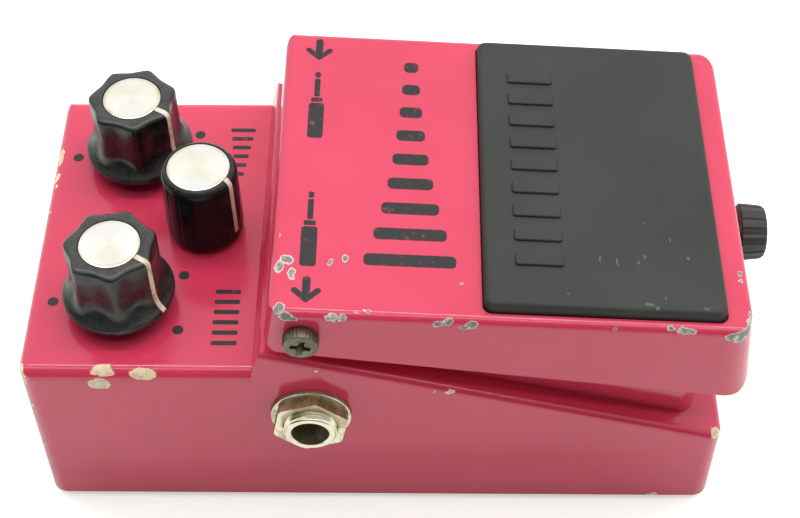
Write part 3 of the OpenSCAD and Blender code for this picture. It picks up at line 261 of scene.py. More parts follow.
def make_softbox(name, place, aim, size, power):
    data = bpy.data.lights.new(name, "AREA")
    data.shape = "RECTANGLE"
    data.size = size[0]
    data.size_y = size[1]
    data.energy = power
    lamp = bpy.data.objects.new(name, data)
    lamp.location = place
    lamp.rotation_euler = (Vector(aim) - Vector(place)).to_track_quat("-Z", "Y").to_euler()
    bpy.context.scene.collection.objects.link(lamp)


make_softbox("far_strip", FAR_STRIP_PLACE, STRIP_AIM, STRIP_SIZE, FAR_STRIP_POWER)
make_softbox("near_strip", NEAR_STRIP_PLACE, STRIP_AIM, STRIP_SIZE, NEAR_STRIP_POWER)
bpy.context.scene.view_settings.view_transform = "Standard"
print("two strip lamps hung, each", STRIP_SIZE, "metres")

# %% [markdown]
# ## Paint with chips
# The case wears a pink-crimson enamel, smooth but with a little orange peel. Knocks have taken it off
# the edges: on the treadle down to grey metal with a torn white rim, on the case down to a cream
# filler. Painting such marks by hand would need an image, so the chips are a field instead: the
# distance to the nearest of a list of stretched balls, roughened by two sizes of noise. Below zero
# there is bare metal, and a narrow band round it is the rim.

# %% Where the paint is chipped
# Each chip is x, y, z and its half sizes along x, y and z, in millimetres
TREADLE_CHIPS = [
    (-22.9, 15.9, 57.0, 1.6, 0.8, 0.9), (-21.3, 14.6, 57.0, 1.1, 1.2, 0.8),
    (-24.0, 13.6, 57.0, 1.2, 0.6, 0.6), (-21.6, 7.5, 56.6, 0.6, 0.3, 0.4),
    (-20.6, 5.0, 56.4, 0.8, 0.7, 0.5), (-31.2, 15.5, 56.9, 0.9, 0.8, 0.8),
    (-32.1, 14.2, 56.1, 0.8, 1.2, 0.9), (-32.4, 13.0, 55.5, 0.5, 0.8, 0.5),
    (-32.2, 7.0, 55.6, 0.6, 1.1, 0.8), (-32.2, 5.1, 55.6, 0.6, 0.8, 0.8),
    (-31.4, 3.2, 56.3, 0.2, 0.5, 0.3), (-31.0, 1.3, 56.2, 0.4, 0.6, 0.3),
    (-32.3, -10.0, 54.4, 0.5, 1.0, 0.6), (-32.0, -11.6, 54.9, 0.5, 0.9, 0.6),
    (-32.3, -15.4, 54.0, 0.5, 1.1, 0.8), (-32.4, -14.0, 53.6, 0.4, 0.9, 0.4),
    (-32.1, -38.6, 53.1, 0.3, 0.5, 0.3), (-31.9, -47.4, 52.9, 0.4, 0.8, 0.4),
    (-32.1, -50.0, 52.6, 0.6, 1.6, 0.7), (-32.2, -48.9, 52.4, 0.4, 0.6, 0.4),
    (-32.2, -57.3, 51.2, 0.7, 1.4, 0.9), (-31.6, -59.0, 50.5, 1.1, 1.4, 1.5),
    (-30.8, -60.3, 50.6, 1.2, 1.1, 1.6), (-30.3, -60.5, 52.2, 1.3, 0.8, 0.9),
    (-28.6, -60.6, 52.4, 1.0, 0.4, 0.5), (-21.7, -59.7, 52.5, 0.4, 0.4, 0.4),
    (-20.4, -59.8, 52.5, 0.5, 0.4, 0.4), (2.0, -61.0, 52.0, 0.7, 0.3, 0.4),
    (-24.7, -13.7, 55.3, 0.2, 0.3, 0.3), (-16.4, 15.8, 57.0, 0.5, 0.2, 0.3),
]
CASE_CHIPS = [
    (-31.1, 45.9, 39.1, 1.3, 2.0, 0.9), (-32.0, 46.7, 36.6, 0.7, 2.1, 1.4),
    (-31.4, 39.1, 38.8, 1.2, 2.4, 1.1), (-30.6, 59.8, 38.9, 1.3, 0.9, 1.0),
    (-31.4, 59.8, 37.0, 0.8, 0.9, 1.8), (-31.3, 59.5, 29.0, 0.4, 0.3, 0.5),
    (-31.1, 59.5, 16.3, 0.3, 0.3, 0.4), (17.2, 59.5, 39.2, 2.3, 0.7, 0.7),
    (12.2, 59.6, 39.1, 1.2, 0.6, 0.6), (9.9, 59.3, 39.3, 0.5, 0.3, 0.3),
    (4.1, 59.7, 39.3, 0.6, 0.3, 0.4), (-32.0, 10.0, 40.8, 0.3, 0.4, 0.3),
    (-31.9, -12.3, 34.6, 0.4, 0.8, 0.4), (-32.0, -9.8, 34.8, 0.3, 0.3, 0.3),
    (-31.0, -59.2, 21.3, 1.1, 1.0, 1.4), (-32.0, -50.0, 2.3, 0.4, 1.2, 0.4),
]

print("chips on treadle and case:", len(TREADLE_CHIPS), len(CASE_CHIPS))

# %% The field of chips
TEAR_SCALES = (420.0, 1500.0)
TEAR_COARSE = 0.75 * MM
TEAR_FINE = 0.28 * MM


def torn_place(tree, coordinates, coarse, fine):
    place = coordinates
    for scale, reach in zip(TEAR_SCALES, (coarse, fine)):
        noise = grain(tree, coordinates, scale, detail=2.0).outputs["Color"]
        centred = vector_node(tree, "SUBTRACT", noise, (0.5, 0.5, 0.5)).outputs[0]
        push = add_node(tree, "ShaderNodeVectorMath", {0: centred, "Scale": 2 * reach}, operation="SCALE")
        place = vector_node(tree, "ADD", place, push.outputs[0]).outputs[0]
    return place


def chip_field(tree, coordinates, chips, coarse=TEAR_COARSE, fine=TEAR_FINE):
    place = torn_place(tree, coordinates, coarse, fine)
    field = None
    for x, y, z, half_x, half_y, half_z in chips:
        offset = vector_node(tree, "SUBTRACT", place, (x * MM, y * MM, z * MM)).outputs[0]
        scaled = vector_node(tree, "MULTIPLY", offset, (1 / half_x, 1 / half_y, 1 / half_z)).outputs[0]
        reach = vector_node(tree, "LENGTH", scaled).outputs["Value"]
        depth = math_node(tree, "SUBTRACT", reach, MM)
        field = depth if field is None else math_node(tree, "MINIMUM", field, depth)
    return field


print("chip edges wander by up to", round(TEAR_COARSE / MM, 2), "mm")

# %% The paint
PAINT_PINK = (0.73, 0.051, 0.118)
PAINT_DEEP = (0.67, 0.042, 0.099)
PAINT_IOR = 1.56
PAINT_ROUGHNESS = 0.2
PAINT_SHINE = (0.10, 0.22)
CLOUD_SCALE = 45.0
CLOUD_SPAN = (0.35, 0.75)
SCUFF_SCALE = 260.0
SCUFF_SPAN = (0.3, 0.8)
PEEL_SCALE = 900.0
PEEL_HEIGHT = 0.08
FILLER_CREAM = (0.95, 0.74, 0.48)
FILLER_GREEN = (0.48, 0.49, 0.34)
TORN_WHITE = (0.76, 0.70, 0.65)
BARE_METAL = (0.20, 0.205, 0.165)
TREADLE_BARE_SHARE = 0.62
CASE_BARE_SHARE = 0.40
MOTTLE_SCALE = 950.0
MOTTLE_SOFTNESS = 0.12
CHIP_EDGE = 0.06 * MM
CHIP_RIM = (-0.08 * MM, -0.30 * MM)
CHIP_DEPTH = 0.10 * MM
CHIP_ROUGHNESS = 0.5


def make_paint(name, chips, rim_colour, bare_colour, bare_share):
    material, tree, shader = start_finish(name, PAINT_PINK, PAINT_ROUGHNESS)
    shader.inputs["IOR"].default_value = PAINT_IOR
    coordinates = piece_coordinates(tree)
    clouds = grain(tree, coordinates, CLOUD_SCALE).outputs["Fac"]
    paint = mix_colour(tree, remap(tree, clouds, *CLOUD_SPAN), PAINT_PINK, PAINT_DEEP)
    field = chip_field(tree, coordinates, chips)
    chipped = remap(tree, field, CHIP_EDGE, -CHIP_EDGE)
    inner = remap(tree, field, *CHIP_RIM)
    mottled = grain(tree, coordinates, MOTTLE_SCALE, detail=4.0).outputs["Fac"]
    patchy = remap(tree, mottled, bare_share - MOTTLE_SOFTNESS, bare_share + MOTTLE_SOFTNESS, 1.0, 0.0)
    bare = math_node(tree, "MULTIPLY", inner, patchy)
    under = mix_colour(tree, bare, rim_colour, bare_colour)
    tree.links.new(mix_colour(tree, chipped, paint, under), shader.inputs["Base Color"])
    scuffs = grain(tree, coordinates, SCUFF_SCALE, detail=6.0).outputs["Fac"]
    smooth = remap(tree, scuffs, *SCUFF_SPAN, *PAINT_SHINE)
    dull = math_node(tree, "MAXIMUM", smooth, math_node(tree, "MULTIPLY", chipped, CHIP_ROUGHNESS))
    tree.links.new(dull, shader.inputs["Roughness"])
    peel = grain(tree, coordinates, PEEL_SCALE, detail=1.0).outputs["Fac"]
    height = math_node(tree, "SUBTRACT", math_node(tree, "MULTIPLY", peel, PEEL_HEIGHT), chipped)
    bump(tree, shader, height, strength=0.35, distance=CHIP_DEPTH)
    return material


def dress(material, *names):
    for name in names:
        mesh = nodes[name].data
        mesh.materials.clear()
        mesh.materials.append(material)


treadle_paint = make_paint("treadle_paint", TREADLE_CHIPS, TORN_WHITE, BARE_METAL, TREADLE_BARE_SHARE)
case_paint = make_paint("case_paint", CASE_CHIPS, FILLER_CREAM, FILLER_GREEN, CASE_BARE_SHARE)
dress(treadle_paint, "treadle_shell")
dress(case_paint, "case_housing")
print("painted:", treadle_paint.name, case_paint.name)

# %% [markdown]
# ## Turned and lofted pieces
# Knobs, nuts, washers and screws are all stacks of rings. A loft joins each ring to the next with
# quads, and a ring's radius may change with the angle, which gives lobes, flutes, knurls and hexagons
# from one helper. Edges that turn by more than a set angle stay crisp, and the rest shade smoothly.

# %% Turned and lofted pieces
CRISP_ANGLE = math.radians(38)


def loft(rings, ends=True):
    form = bmesh.new()
    rows = [[form.verts.new(point) for point in ring] for ring in rings]
    count = len(rows[0])
    pairs = list(zip(rows, rows[1:]))
    if not ends:
        pairs.append((rows[-1], rows[0]))
    for below, above in pairs:
        for i in range(count):
            j = (i + 1) % count
            form.faces.new((below[i], below[j], above[j], above[i]))
    if ends:
        form.faces.new(rows[0])
        form.faces.new(rows[-1])
    bmesh.ops.recalc_face_normals(form, faces=form.faces)
    return form


def ring_at(height, radius, count, shape=None):
    points = []
    for i in range(count):
        angle = 2 * math.pi * i / count
        reach = shape(angle, radius) if shape else radius
        points.append(Vector((reach * math.cos(angle), reach * math.sin(angle), height)))
    return points


def make_piece(name, form, material, body, place=Matrix.Identity(4)):
    mesh = bpy.data.meshes.new(name)
    form.to_mesh(mesh)
    form.free()
    mesh.transform(Matrix.Scale(MM, 4) @ place)
    mesh.shade_smooth()
    mesh.set_sharp_from_angle(angle=CRISP_ANGLE)
    mesh.materials.append(material)
    piece = bpy.data.objects.new(name, mesh)
    bpy.context.scene.collection.objects.link(piece)
    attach(piece, body)
    return piece


def carve(piece, form):
    mesh = bpy.data.meshes.new("cutter")
    bmesh.ops.recalc_face_normals(form, faces=form.faces)
    form.to_mesh(mesh)
    form.free()
    mesh.transform(Matrix.Scale(MM, 4))
    cutter = bpy.data.objects.new("cutter", mesh)
    bpy.context.scene.collection.objects.link(cutter)
    cut = piece.modifiers.new("cut", "BOOLEAN")
    cut.object = cutter
    cut.solver = "EXACT"
    graph = bpy.context.evaluated_depsgraph_get()
    carved = bpy.data.meshes.new_from_object(piece.evaluated_get(graph))
    piece.modifiers.remove(cut)
    piece.data = carved
    carved.set_sharp_from_angle(angle=CRISP_ANGLE)
    bpy.data.objects.remove(cutter)


print("edges stay crisp above", round(math.degrees(CRISP_ANGLE)), "degrees")

# %% [markdown]
# ## Knob black, caps and pointer lines
# The knobs are black phenolic: the two outer ones are scuffed grey by fingers, and the middle one has
# kept its gloss. Faces that look up are painted greyer, partly for dust and partly as painted top light,
# which the surface normal tells. Each carries a spun aluminium cap, whose turning marks stretch the
# highlight into a bow tie: an anisotropic metal with a radial tangent does that. Random warm patches on
# the cap are painted sheen, and its rim is painted darker and browner. The cream filling of the
# pointer line has yellowed.

# %% Knob black
KNOB_BLACK = (0.010, 0.010, 0.011)
# Grey for finger scuffs, and for dust with painted top light on faces that look up
SCUFF_AND_TOP_LIGHT_GREY = (0.085, 0.090, 0.080)
WEAR_SCALE = 420.0
WEAR_SPAN = (0.35, 0.75)
RUB_SCALE = 150.0
RUB_SPAN = (0.50, 0.72)
# Faces that look up are painted greyer, for dust and as painted top light; the wear noise thins it in
# patches
UPWARD_SPAN = (0.30, 0.95)
DUST_AND_TOP_LIGHT_SPAN = (0.30, 0.65)
DUST_AND_TOP_LIGHT_THIN = 0.4


def make_knob_black(name, smooth, dull, scuffed, dust_and_top_light, mirror):
    material, tree, shader = start_finish(name, KNOB_BLACK, dull)
    shader.inputs["Specular IOR Level"].default_value = mirror
    coordinates = piece_coordinates(tree)
    wear = grain(tree, coordinates, WEAR_SCALE, detail=6.0, roughness=0.7).outputs["Fac"]
    tree.links.new(remap(tree, wear, *WEAR_SPAN, smooth, dull), shader.inputs["Roughness"])
    rubbed = grain(tree, coordinates, RUB_SCALE, detail=5.0, roughness=0.65).outputs["Fac"]
    scuff = remap(tree, rubbed, *RUB_SPAN, 0.0, scuffed)
    # Dust with painted top light: the more a face looks up, the greyer it is painted
    normal = add_node(tree, "ShaderNodeNewGeometry").outputs["Normal"]
    upward = add_node(tree, "ShaderNodeSeparateXYZ", {0: normal}).outputs["Z"]
    dust_and_top_light_mask = remap(tree, upward, *UPWARD_SPAN, 0.0, dust_and_top_light)
    patchy = math_node(tree, "MULTIPLY", dust_and_top_light_mask, remap(tree, wear, *DUST_AND_TOP_LIGHT_SPAN, DUST_AND_TOP_LIGHT_THIN, 1.0))
    grey = math_node(tree, "MAXIMUM", scuff, patchy)
    tree.links.new(mix_colour(tree, grey, KNOB_BLACK, SCUFF_AND_TOP_LIGHT_GREY), shader.inputs["Base Color"])
    bump(tree, shader, wear, strength=0.12, distance=0.05 * MM)
    return material


scuffed_black = make_knob_black(
    "scuffed_knob_black", smooth=0.18, dull=0.45, scuffed=0.75, dust_and_top_light=0.6, mirror=0.5
)
glossy_black = make_knob_black(
    "glossy_knob_black", smooth=0.06, dull=0.22, scuffed=0.1, dust_and_top_light=0.55, mirror=0.16
)
print("knob blacks mixed:", scuffed_black.name, glossy_black.name)

# %% Spun caps
CAP_SILVER = (0.93, 0.92, 0.88)
CAP_ROUGHNESS = 0.24
CAP_STRETCH = 0.7
TURNING_SCALE = 900.0
# Warm tint laid on the cap in random patches, as a painted sheen
CAP_PAINTED_SHEEN = (0.90, 0.84, 0.62)
PAINTED_SHEEN_SCALE = 180.0
PAINTED_SHEEN_SPAN = (0.4, 0.7)
PAINTED_SHEEN_SHARE = 0.8
# Darker, browner colour painted over the cap's outer rim
CAP_RIM = (0.50, 0.44, 0.28)
CAP_RIM_WIDTH = 0.8
CAP_RIM_SPAN = (0.35, 0.65)
CAP_RIM_SHARE = 0.9


def make_cap_metal(name, centre, radius):
    material, tree, shader = start_finish(name, CAP_SILVER, CAP_ROUGHNESS, metallic=1.0)
    shader.inputs["Anisotropic"].default_value = CAP_STRETCH
    coordinates = piece_coordinates(tree)
    to_axis = (-centre[0] * MM, -centre[1] * MM, 0.0)
    mapping = add_node(tree, "ShaderNodeMapping", {"Vector": coordinates, "Location": to_axis})
    shifted = mapping.outputs["Vector"]
    rings = add_node(
        tree, "ShaderNodeTexWave",
        {"Vector": shifted, "Scale": TURNING_SCALE, "Distortion": 0.6, "Detail": 2.0},
        wave_type="RINGS", rings_direction="Z",
    )
    # Painted sheen: random warm patches over the spun metal
    warm = grain(tree, coordinates, PAINTED_SHEEN_SCALE).outputs["Fac"]
    painted_sheen = remap(tree, warm, *PAINTED_SHEEN_SPAN, 0.0, PAINTED_SHEEN_SHARE)
    tone = mix_colour(tree, painted_sheen, CAP_SILVER, CAP_PAINTED_SHEEN)
    level = vector_node(tree, "MULTIPLY", shifted, (1.0, 1.0, 0.0)).outputs[0]
    reach = vector_node(tree, "LENGTH", level).outputs["Value"]
    # The outer rim is painted darker and browner, in patches from the same warm noise
    rim = remap(tree, reach, (radius - CAP_RIM_WIDTH) * MM, radius * MM, 0.0, CAP_RIM_SHARE)
    browner_rim = math_node(tree, "MULTIPLY", rim, remap(tree, warm, *CAP_RIM_SPAN))
    tree.links.new(mix_colour(tree, browner_rim, tone, CAP_RIM), shader.inputs["Base Color"])
    tangent = add_node(tree, "ShaderNodeTangent", direction_type="RADIAL", axis="Z")
    tree.links.new(tangent.outputs["Tangent"], shader.inputs["Tangent"])
    bump(tree, shader, rings.outputs["Fac"], strength=0.10, distance=0.01 * MM)
    return material


print("caps yellow over the outer", CAP_RIM_WIDTH, "mm")

# %% Pointer lines
POINTER_CREAM = (0.80, 0.72, 0.55)
POINTER_STAIN = (0.42, 0.30, 0.17)
STAIN_SCALE = 500.0
STAIN_SPAN = (0.45, 0.75)


def make_pointer_cream():
    material, tree, shader = start_finish("pointer_cream", POINTER_CREAM, roughness=0.5)
    stain = grain(tree, piece_coordinates(tree), STAIN_SCALE, detail=5.0).outputs["Fac"]
    tone = mix_colour(tree, remap(tree, stain, *STAIN_SPAN), POINTER_CREAM, POINTER_STAIN)
    tree.links.new(tone, shader.inputs["Base Color"])
    return material


pointer_cream = make_pointer_cream()
print("pointer lines filled with", pointer_cream.name)

# %% [markdown]
# ## The knobs
# The two outer knobs have a skirt that sweeps up into a grip with seven lobes, and the middle one is a
# tall grooved cylinder. Each is lofted from rings: first the hollow that clears the nut under it, then
# the outside. The lobes fade in above the skirt. The pointer line is a thin band swept along the same
# outside profile.

# %% Profiles of the knobs
PANEL_Z = 39.6
KNOB_COUNT = 280
PLAIN_BELOW = 5.6
HOLLOW = [(11.8, 3.12), (4.4, 3.12), (4.4, 5.6)]
OUTER_PROFILE = [
    (3.0, 9.35), (3.12, 9.52), (3.35, 9.6), (3.9, 9.6), (4.15, 9.5), (4.35, 9.25), (4.7, 8.85),
    (5.2, 8.5), (5.8, 8.25), (6.5, 8.08), (7.3, 7.97), (9.0, 7.95), (12.0, 7.94), (14.75, 7.92),
    (15.1, 7.84), (15.4, 7.65), (15.6, 7.38), (15.7, 7.0), (15.7, 5.3), (15.45, 5.2),
]
MIDDLE_PROFILE = [
    (1.6, 6.6), (1.8, 6.78), (2.2, 6.8), (3.2, 6.79), (8.0, 6.72), (13.6, 6.64), (14.6, 6.62),
    (15.2, 6.52), (15.65, 6.28), (15.95, 5.98), (16.1, 5.7), (16.1, 5.55), (15.85, 5.5),
]

print("tallest knob:", max(height for height, radius in MIDDLE_PROFILE), "mm")

# %% Lobes and grooves
LOBES = 7
FLUTE_HALF_WIDTH = 3.3
FLUTE_DEPTH = 0.9
FLUTE_START = 4.6
FLUTE_FULL = 7.2
FLUTE_FORM = 1.2
MIDDLE_GROOVES = 18
GROOVE_DEPTH = 0.06
GROOVE_FORM = 3
GROOVE_TOP = 15.0
GROOVE_FADE = 0.6


def lobed(height):
    fade = min(1.0, max(0.0, (height - FLUTE_START) / (FLUTE_FULL - FLUTE_START)))
    fade = fade * fade * (3 - 2 * fade)

    def shape(angle, radius):
        pitch = 2 * math.pi / LOBES
        off_flute = (angle % pitch) - pitch / 2
        along = abs(off_flute) * radius / FLUTE_HALF_WIDTH
        hollow = math.cos(min(1.0, along) * math.pi / 2) ** FLUTE_FORM
        return radius - FLUTE_DEPTH * fade * hollow
    return shape


def grooved(height):
    fade = min(1.0, max(0.0, (GROOVE_TOP - height) / GROOVE_FADE))

    def shape(angle, radius):
        wave = math.cos(MIDDLE_GROOVES * angle - math.pi)
        return radius - GROOVE_DEPTH * fade * max(0.0, wave) ** GROOVE_FORM
    return shape


def knob_rings(profile, shape_at):
    hollow = HOLLOW + [(profile[0][0], HOLLOW[-1][1])]
    rings = [ring_at(height, radius, KNOB_COUNT) for height, radius in hollow]
    for height, radius in profile:
        shape = shape_at(height) if radius >= PLAIN_BELOW else None
        rings.append(ring_at(height, radius, KNOB_COUNT, shape))
    return rings


print("grips with", LOBES, "lobes and", MIDDLE_GROOVES, "grooves")

# %% Bands and discs
POINTER_WIDTH = 0.92
POINTER_PROUD = 0.05
POINTER_DEPTH = 0.25
POINTER_FOOT = {"left": 3.8, "middle": 3.0, "right": 3.8}
CAP_COUNT = 96

# Each ring of a cap is its rise over the knob's top, its share of the cap's radius, and an inset
CAP_PROFILE = [
    (-0.7, 1.0, 0.02), (-0.05, 1.0, 0.0), (0.02, 1.0, 0.08), (0.05, 1.0, 0.25), (0.06, 0.5, 0.0),
    (0.06, 0.0, -0.2),
]


def pointer_band(profile, width, proud, depth):
    rings = []
    for i, (height, radius) in enumerate(profile):
        before = profile[max(0, i - 1)]
        after = profile[min(len(profile) - 1, i + 1)]
        run = Vector((after[1] - before[1], after[0] - before[0])).normalized()
        out = Vector((run.y, -run.x))
        skin = Vector((radius, height)) + out * proud
        root = Vector((radius, height)) - out * depth
        half = width / 2
        rings.append([
            Vector((skin.x, -half, skin.y)), Vector((skin.x, half, skin.y)),
            Vector((root.x, half, root.y)), Vector((root.x, -half, root.y)),
        ])
    return loft(rings)


def cap_rings(top, radius):
    return [
        ring_at(top + rise, radius * share - inset, CAP_COUNT) for rise, share, inset in CAP_PROFILE
    ]


print("pointer lines are", POINTER_WIDTH, "mm wide")

# %% Make the knobs
POINTER_REST = math.radians(-120)

# Each control has its place on the panel, profile, grip, top, cap radius and finish
CONTROLS = {
    "left": ((-16.85, 44.25), OUTER_PROFILE, lobed, 15.7, 5.1, scuffed_black),
    "middle": ((0.0, 30.95), MIDDLE_PROFILE, grooved, 16.1, 5.4, glossy_black),
    "right": ((16.85, 44.25), OUTER_PROFILE, lobed, 15.7, 5.1, scuffed_black),
}

for side, (centre, profile, shape_at, top, cap_radius, black) in CONTROLS.items():
    place = Matrix.Translation((*centre, PANEL_Z)) @ Matrix.Rotation(POINTER_REST, 4, "Z")
    body = side + "_control"
    knob = make_piece(
        side + "_grip", loft(knob_rings(profile, shape_at)), black, body, place
    )
    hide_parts(side + "_knob")
    line = [point for point in profile[:-1] if point[0] > POINTER_FOOT[side]]
    band = pointer_band(line, POINTER_WIDTH, POINTER_PROUD, POINTER_DEPTH)
    pointer = make_piece(side + "_pointer_line", band, pointer_cream, body, place)
    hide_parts(side + "_knob_pointer")
    metal = make_cap_metal(side + "_cap_metal", centre, cap_radius)
    disc = loft(cap_rings(top, cap_radius))
    cap = make_piece(side + "_spun_cap", disc, metal, body, place)
    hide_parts(side + "_knob_cap")
print("knobs lofted:", list(CONTROLS))

# %% [markdown]
# ## Jacks
# A jack's threaded bush comes through the wall and is held by a washer and a hexagon nut. All three are
# nickel plated, and brown tarnish has crept over the plating where fingers and plugs don't rub it
# clean: over the nut's flanks far more than over its front. The surface normal tells the two apart, so
# one finish can do both. The thread is a row of ridges along the bush, and the nut is a hexagon with
# its front edge just broken.

# %% Nickel and tarnish
NICKEL = (0.84, 0.78, 0.60)
NICKEL_SHINE = (0.28, 0.65)
TARNISH = (0.25, 0.165, 0.06)
BLOTCH_SCALE = 210.0
STREAK_SPAN = (0.30, 0.55)
STREAK_THIN = 0.55
FLANK_SPAN = (0.75, 0.35)
RUST_DARK = (0.085, 0.048, 0.016)
RUST_METALLIC = 0.3
PIT_SCALE = 620.0
PIT_SPAN = (0.48, 0.66)


def make_nickel(name, tarnish_low, tarnish_high, flank_tarnish):
    material, tree, shader = start_finish(name, NICKEL, roughness=0.35, metallic=1.0)
    coordinates = piece_coordinates(tree)
    blotch = grain(tree, coordinates, BLOTCH_SCALE, detail=7.0, roughness=0.68).outputs["Fac"]
    spots = remap(tree, blotch, tarnish_low, tarnish_high)
    normal = add_node(tree, "ShaderNodeNewGeometry").outputs["Normal"]
    sideways = add_node(tree, "ShaderNodeSeparateXYZ", {0: normal}).outputs["X"]
    facing = math_node(tree, "ABSOLUTE", sideways)
    streaks = remap(tree, blotch, *STREAK_SPAN, STREAK_THIN * flank_tarnish, flank_tarnish)
    flanks = math_node(tree, "MULTIPLY", streaks, remap(tree, facing, *FLANK_SPAN))
    brown = math_node(tree, "MAXIMUM", spots, flanks)
    pits = grain(tree, coordinates, PIT_SCALE, detail=5.0, roughness=0.7).outputs["Fac"]
    rust = mix_colour(tree, remap(tree, pits, *PIT_SPAN), TARNISH, RUST_DARK)
    tree.links.new(mix_colour(tree, brown, NICKEL, rust), shader.inputs["Base Color"])
    tree.links.new(remap(tree, brown, 0.0, 1.0, *NICKEL_SHINE), shader.inputs["Roughness"])
    tree.links.new(remap(tree, brown, 0.0, 1.0, 1.0, RUST_METALLIC), shader.inputs["Metallic"])
    bump(tree, shader, blotch, strength=0.15, distance=0.05 * MM)
    return material


nickel_clean = make_nickel("nickel_clean", tarnish_low=0.52, tarnish_high=0.90, flank_tarnish=0.0)
nickel_tarnished = make_nickel(
    "nickel_tarnished", tarnish_low=0.46, tarnish_high=0.72, flank_tarnish=0.95
)
print("nickel plated:", nickel_clean.name, nickel_tarnished.name)

# %% Sections of bush, nut and washer
CASE_SIDE = 32.0
BUSH_INNER_END = 20.5
BUSH_OUTER_END = 36.3
BUSH_RADIUS = 4.6
BORE_RADIUS = 3.25
THREAD_START = CASE_SIDE - 2.0
THREAD_PITCH = 0.62
THREAD_DEPTH = 0.2

# Each point of the bush's nose is its distance back from the outer end, and its radius
BUSH_NOSE = [
    (0.3, BUSH_RADIUS - THREAD_DEPTH), (0.1, BUSH_RADIUS - 0.26), (0.0, BUSH_RADIUS - 0.38),
    (0.0, BORE_RADIUS + 0.12), (0.12, BORE_RADIUS),
]
WASHER_THICKNESS = 0.7
WASHER_PROFILE = [
    (32.0, 4.75), (32.0, 6.9), (32.08, 6.95), (32.5, 6.95), (32.64, 6.9), (32.7, 6.78), (32.7, 4.75),
]
NUT_APOTHEM = 5.95
NUT_CORNER = 6.78
NUT_THICKNESS = 2.2
NUT_CLEARANCE = 0.1
NUT_TURN = math.radians(-10.5)


def hexagon(chamfer_radius):
    def shape(angle, radius):
        off = ((angle - NUT_TURN) % (math.pi / 3)) - math.pi / 6
        return min(NUT_APOTHEM / math.cos(off), chamfer_radius)
    return shape


def bush_profile():
    profile = [(BUSH_INNER_END, BORE_RADIUS), (BUSH_INNER_END, BUSH_RADIUS)]
    along = THREAD_START
    while along < BUSH_OUTER_END - THREAD_PITCH:
        profile.append((along, BUSH_RADIUS - THREAD_DEPTH))
        profile.append((along + THREAD_PITCH / 2, BUSH_RADIUS))
        along += THREAD_PITCH
    return profile + [(BUSH_OUTER_END - back, radius) for back, radius in BUSH_NOSE]


def nut_rings(count):
    inner = BUSH_RADIUS + NUT_CLEARANCE
    back = CASE_SIDE + WASHER_THICKNESS
    front = back + NUT_THICKNESS
    sections = [
        (back, inner, None), (back, 1.0, NUT_CORNER - 0.35), (back + 0.25, 1.0, NUT_CORNER),
        (front - 0.12, 1.0, NUT_CORNER), (front, 1.0, NUT_CORNER - 0.16),
        (front, inner + 0.3, None), (front - 0.2, inner, None),
    ]
    return [ring_at(h, r, count, hexagon(c) if c else None) for h, r, c in sections]


print("nut across its flats:", 2 * NUT_APOTHEM, "mm")

# %% Make the jacks
JACK_Y = 11.4
JACK_Z = 28.2
JACK_COUNT = 96
NUT_COUNT = 120

bush_rings = [ring_at(h, r, JACK_COUNT) for h, r in bush_profile()]
washer_rings = [ring_at(h, r, JACK_COUNT) for h, r in WASHER_PROFILE]

JACK_PIECES = [
    ("_threaded_bush", bush_rings, nickel_clean, "_jack_bush"),
    ("_hexagon_nut", nut_rings(NUT_COUNT), nickel_tarnished, "_jack_nut"),
    ("_flat_washer", washer_rings, nickel_tarnished, "_jack_washer"),
]

for side, sign in (("output", -1), ("input", 1)):
    outward = Matrix.Translation((0, JACK_Y, JACK_Z)) @ Matrix.Rotation(sign * math.pi / 2, 4, "Y")
    for name, rings, metal, node in JACK_PIECES:
        piece = make_piece(side + name, loft(rings, ends=False), metal, "case", outward)
        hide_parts(side + node)
print("jacks turned")

# %% [markdown]
# ## Hinge screws
# A shouldered screw at each side carries the treadle. Its head is knurled round the rim and has a cross
# recess, and the plating has gone dull and brown. The recess is two tapered bars and a tapered block
# where they cross, cut out with booleans.

# %% Dull steel
SCREW_GREY = (0.21, 0.19, 0.14)
STEEL_SPAN = (0.3, 0.8)
STEEL_SHINE = (0.30, 0.62)
DIRT_SCALE = 650.0
DIRT_SPAN = (0.35, 0.72)
DIRT_SHADE = 0.45


def make_dull_steel(name, colour):
    material, tree, shader = start_finish(name, colour, roughness=0.42, metallic=0.9)
    dirt = grain(tree, piece_coordinates(tree), DIRT_SCALE, detail=6.0, roughness=0.7).outputs["Fac"]
    darker = tuple(DIRT_SHADE * c for c in colour)
    tone = mix_colour(tree, remap(tree, dirt, *DIRT_SPAN), colour, darker)
    tree.links.new(tone, shader.inputs["Base Color"])
    tree.links.new(remap(tree, dirt, *STEEL_SPAN, *STEEL_SHINE), shader.inputs["Roughness"])
    bump(tree, shader, dirt, strength=0.2, distance=0.04 * MM)
    return material


dull_steel = make_dull_steel("dull_screw_steel", SCREW_GREY)
print("screws finished in", dull_steel.name)

# %% Make the hinge screws
HINGE_Y = 12.05
HINGE_Z = 50.85
KNURLS = 30
KNURL_DEPTH = 0.16
KNURLED_ABOVE = 2.9
SCREW_PROFILE = [
    (25.2, 1.35), (25.4, 1.45), (28.0, 1.45), (28.0, 1.8), (32.5, 1.8), (32.5, 2.85), (32.65, 3.0),
    (34.15, 3.0), (34.5, 2.85), (34.68, 2.5), (34.7, 2.1), (34.7, 0.5),
]
CROSS_TURN = math.radians(12)
CROSS_FRONT = 34.9
CROSS_REAR = 33.3
CROSS_WING = ((1.85, 0.50), (0.85, 0.34))
CROSS_HEART = ((0.98, 0.98), (0.45, 0.45))
CROSS_CUTS = [
    (CROSS_TURN, CROSS_WING),
    (CROSS_TURN + math.pi / 2, CROSS_WING),
    (CROSS_TURN + math.pi / 4, CROSS_HEART),
]


def knurled(angle, radius):
    return radius - KNURL_DEPTH * (0.5 + 0.5 * math.cos(KNURLS * angle))


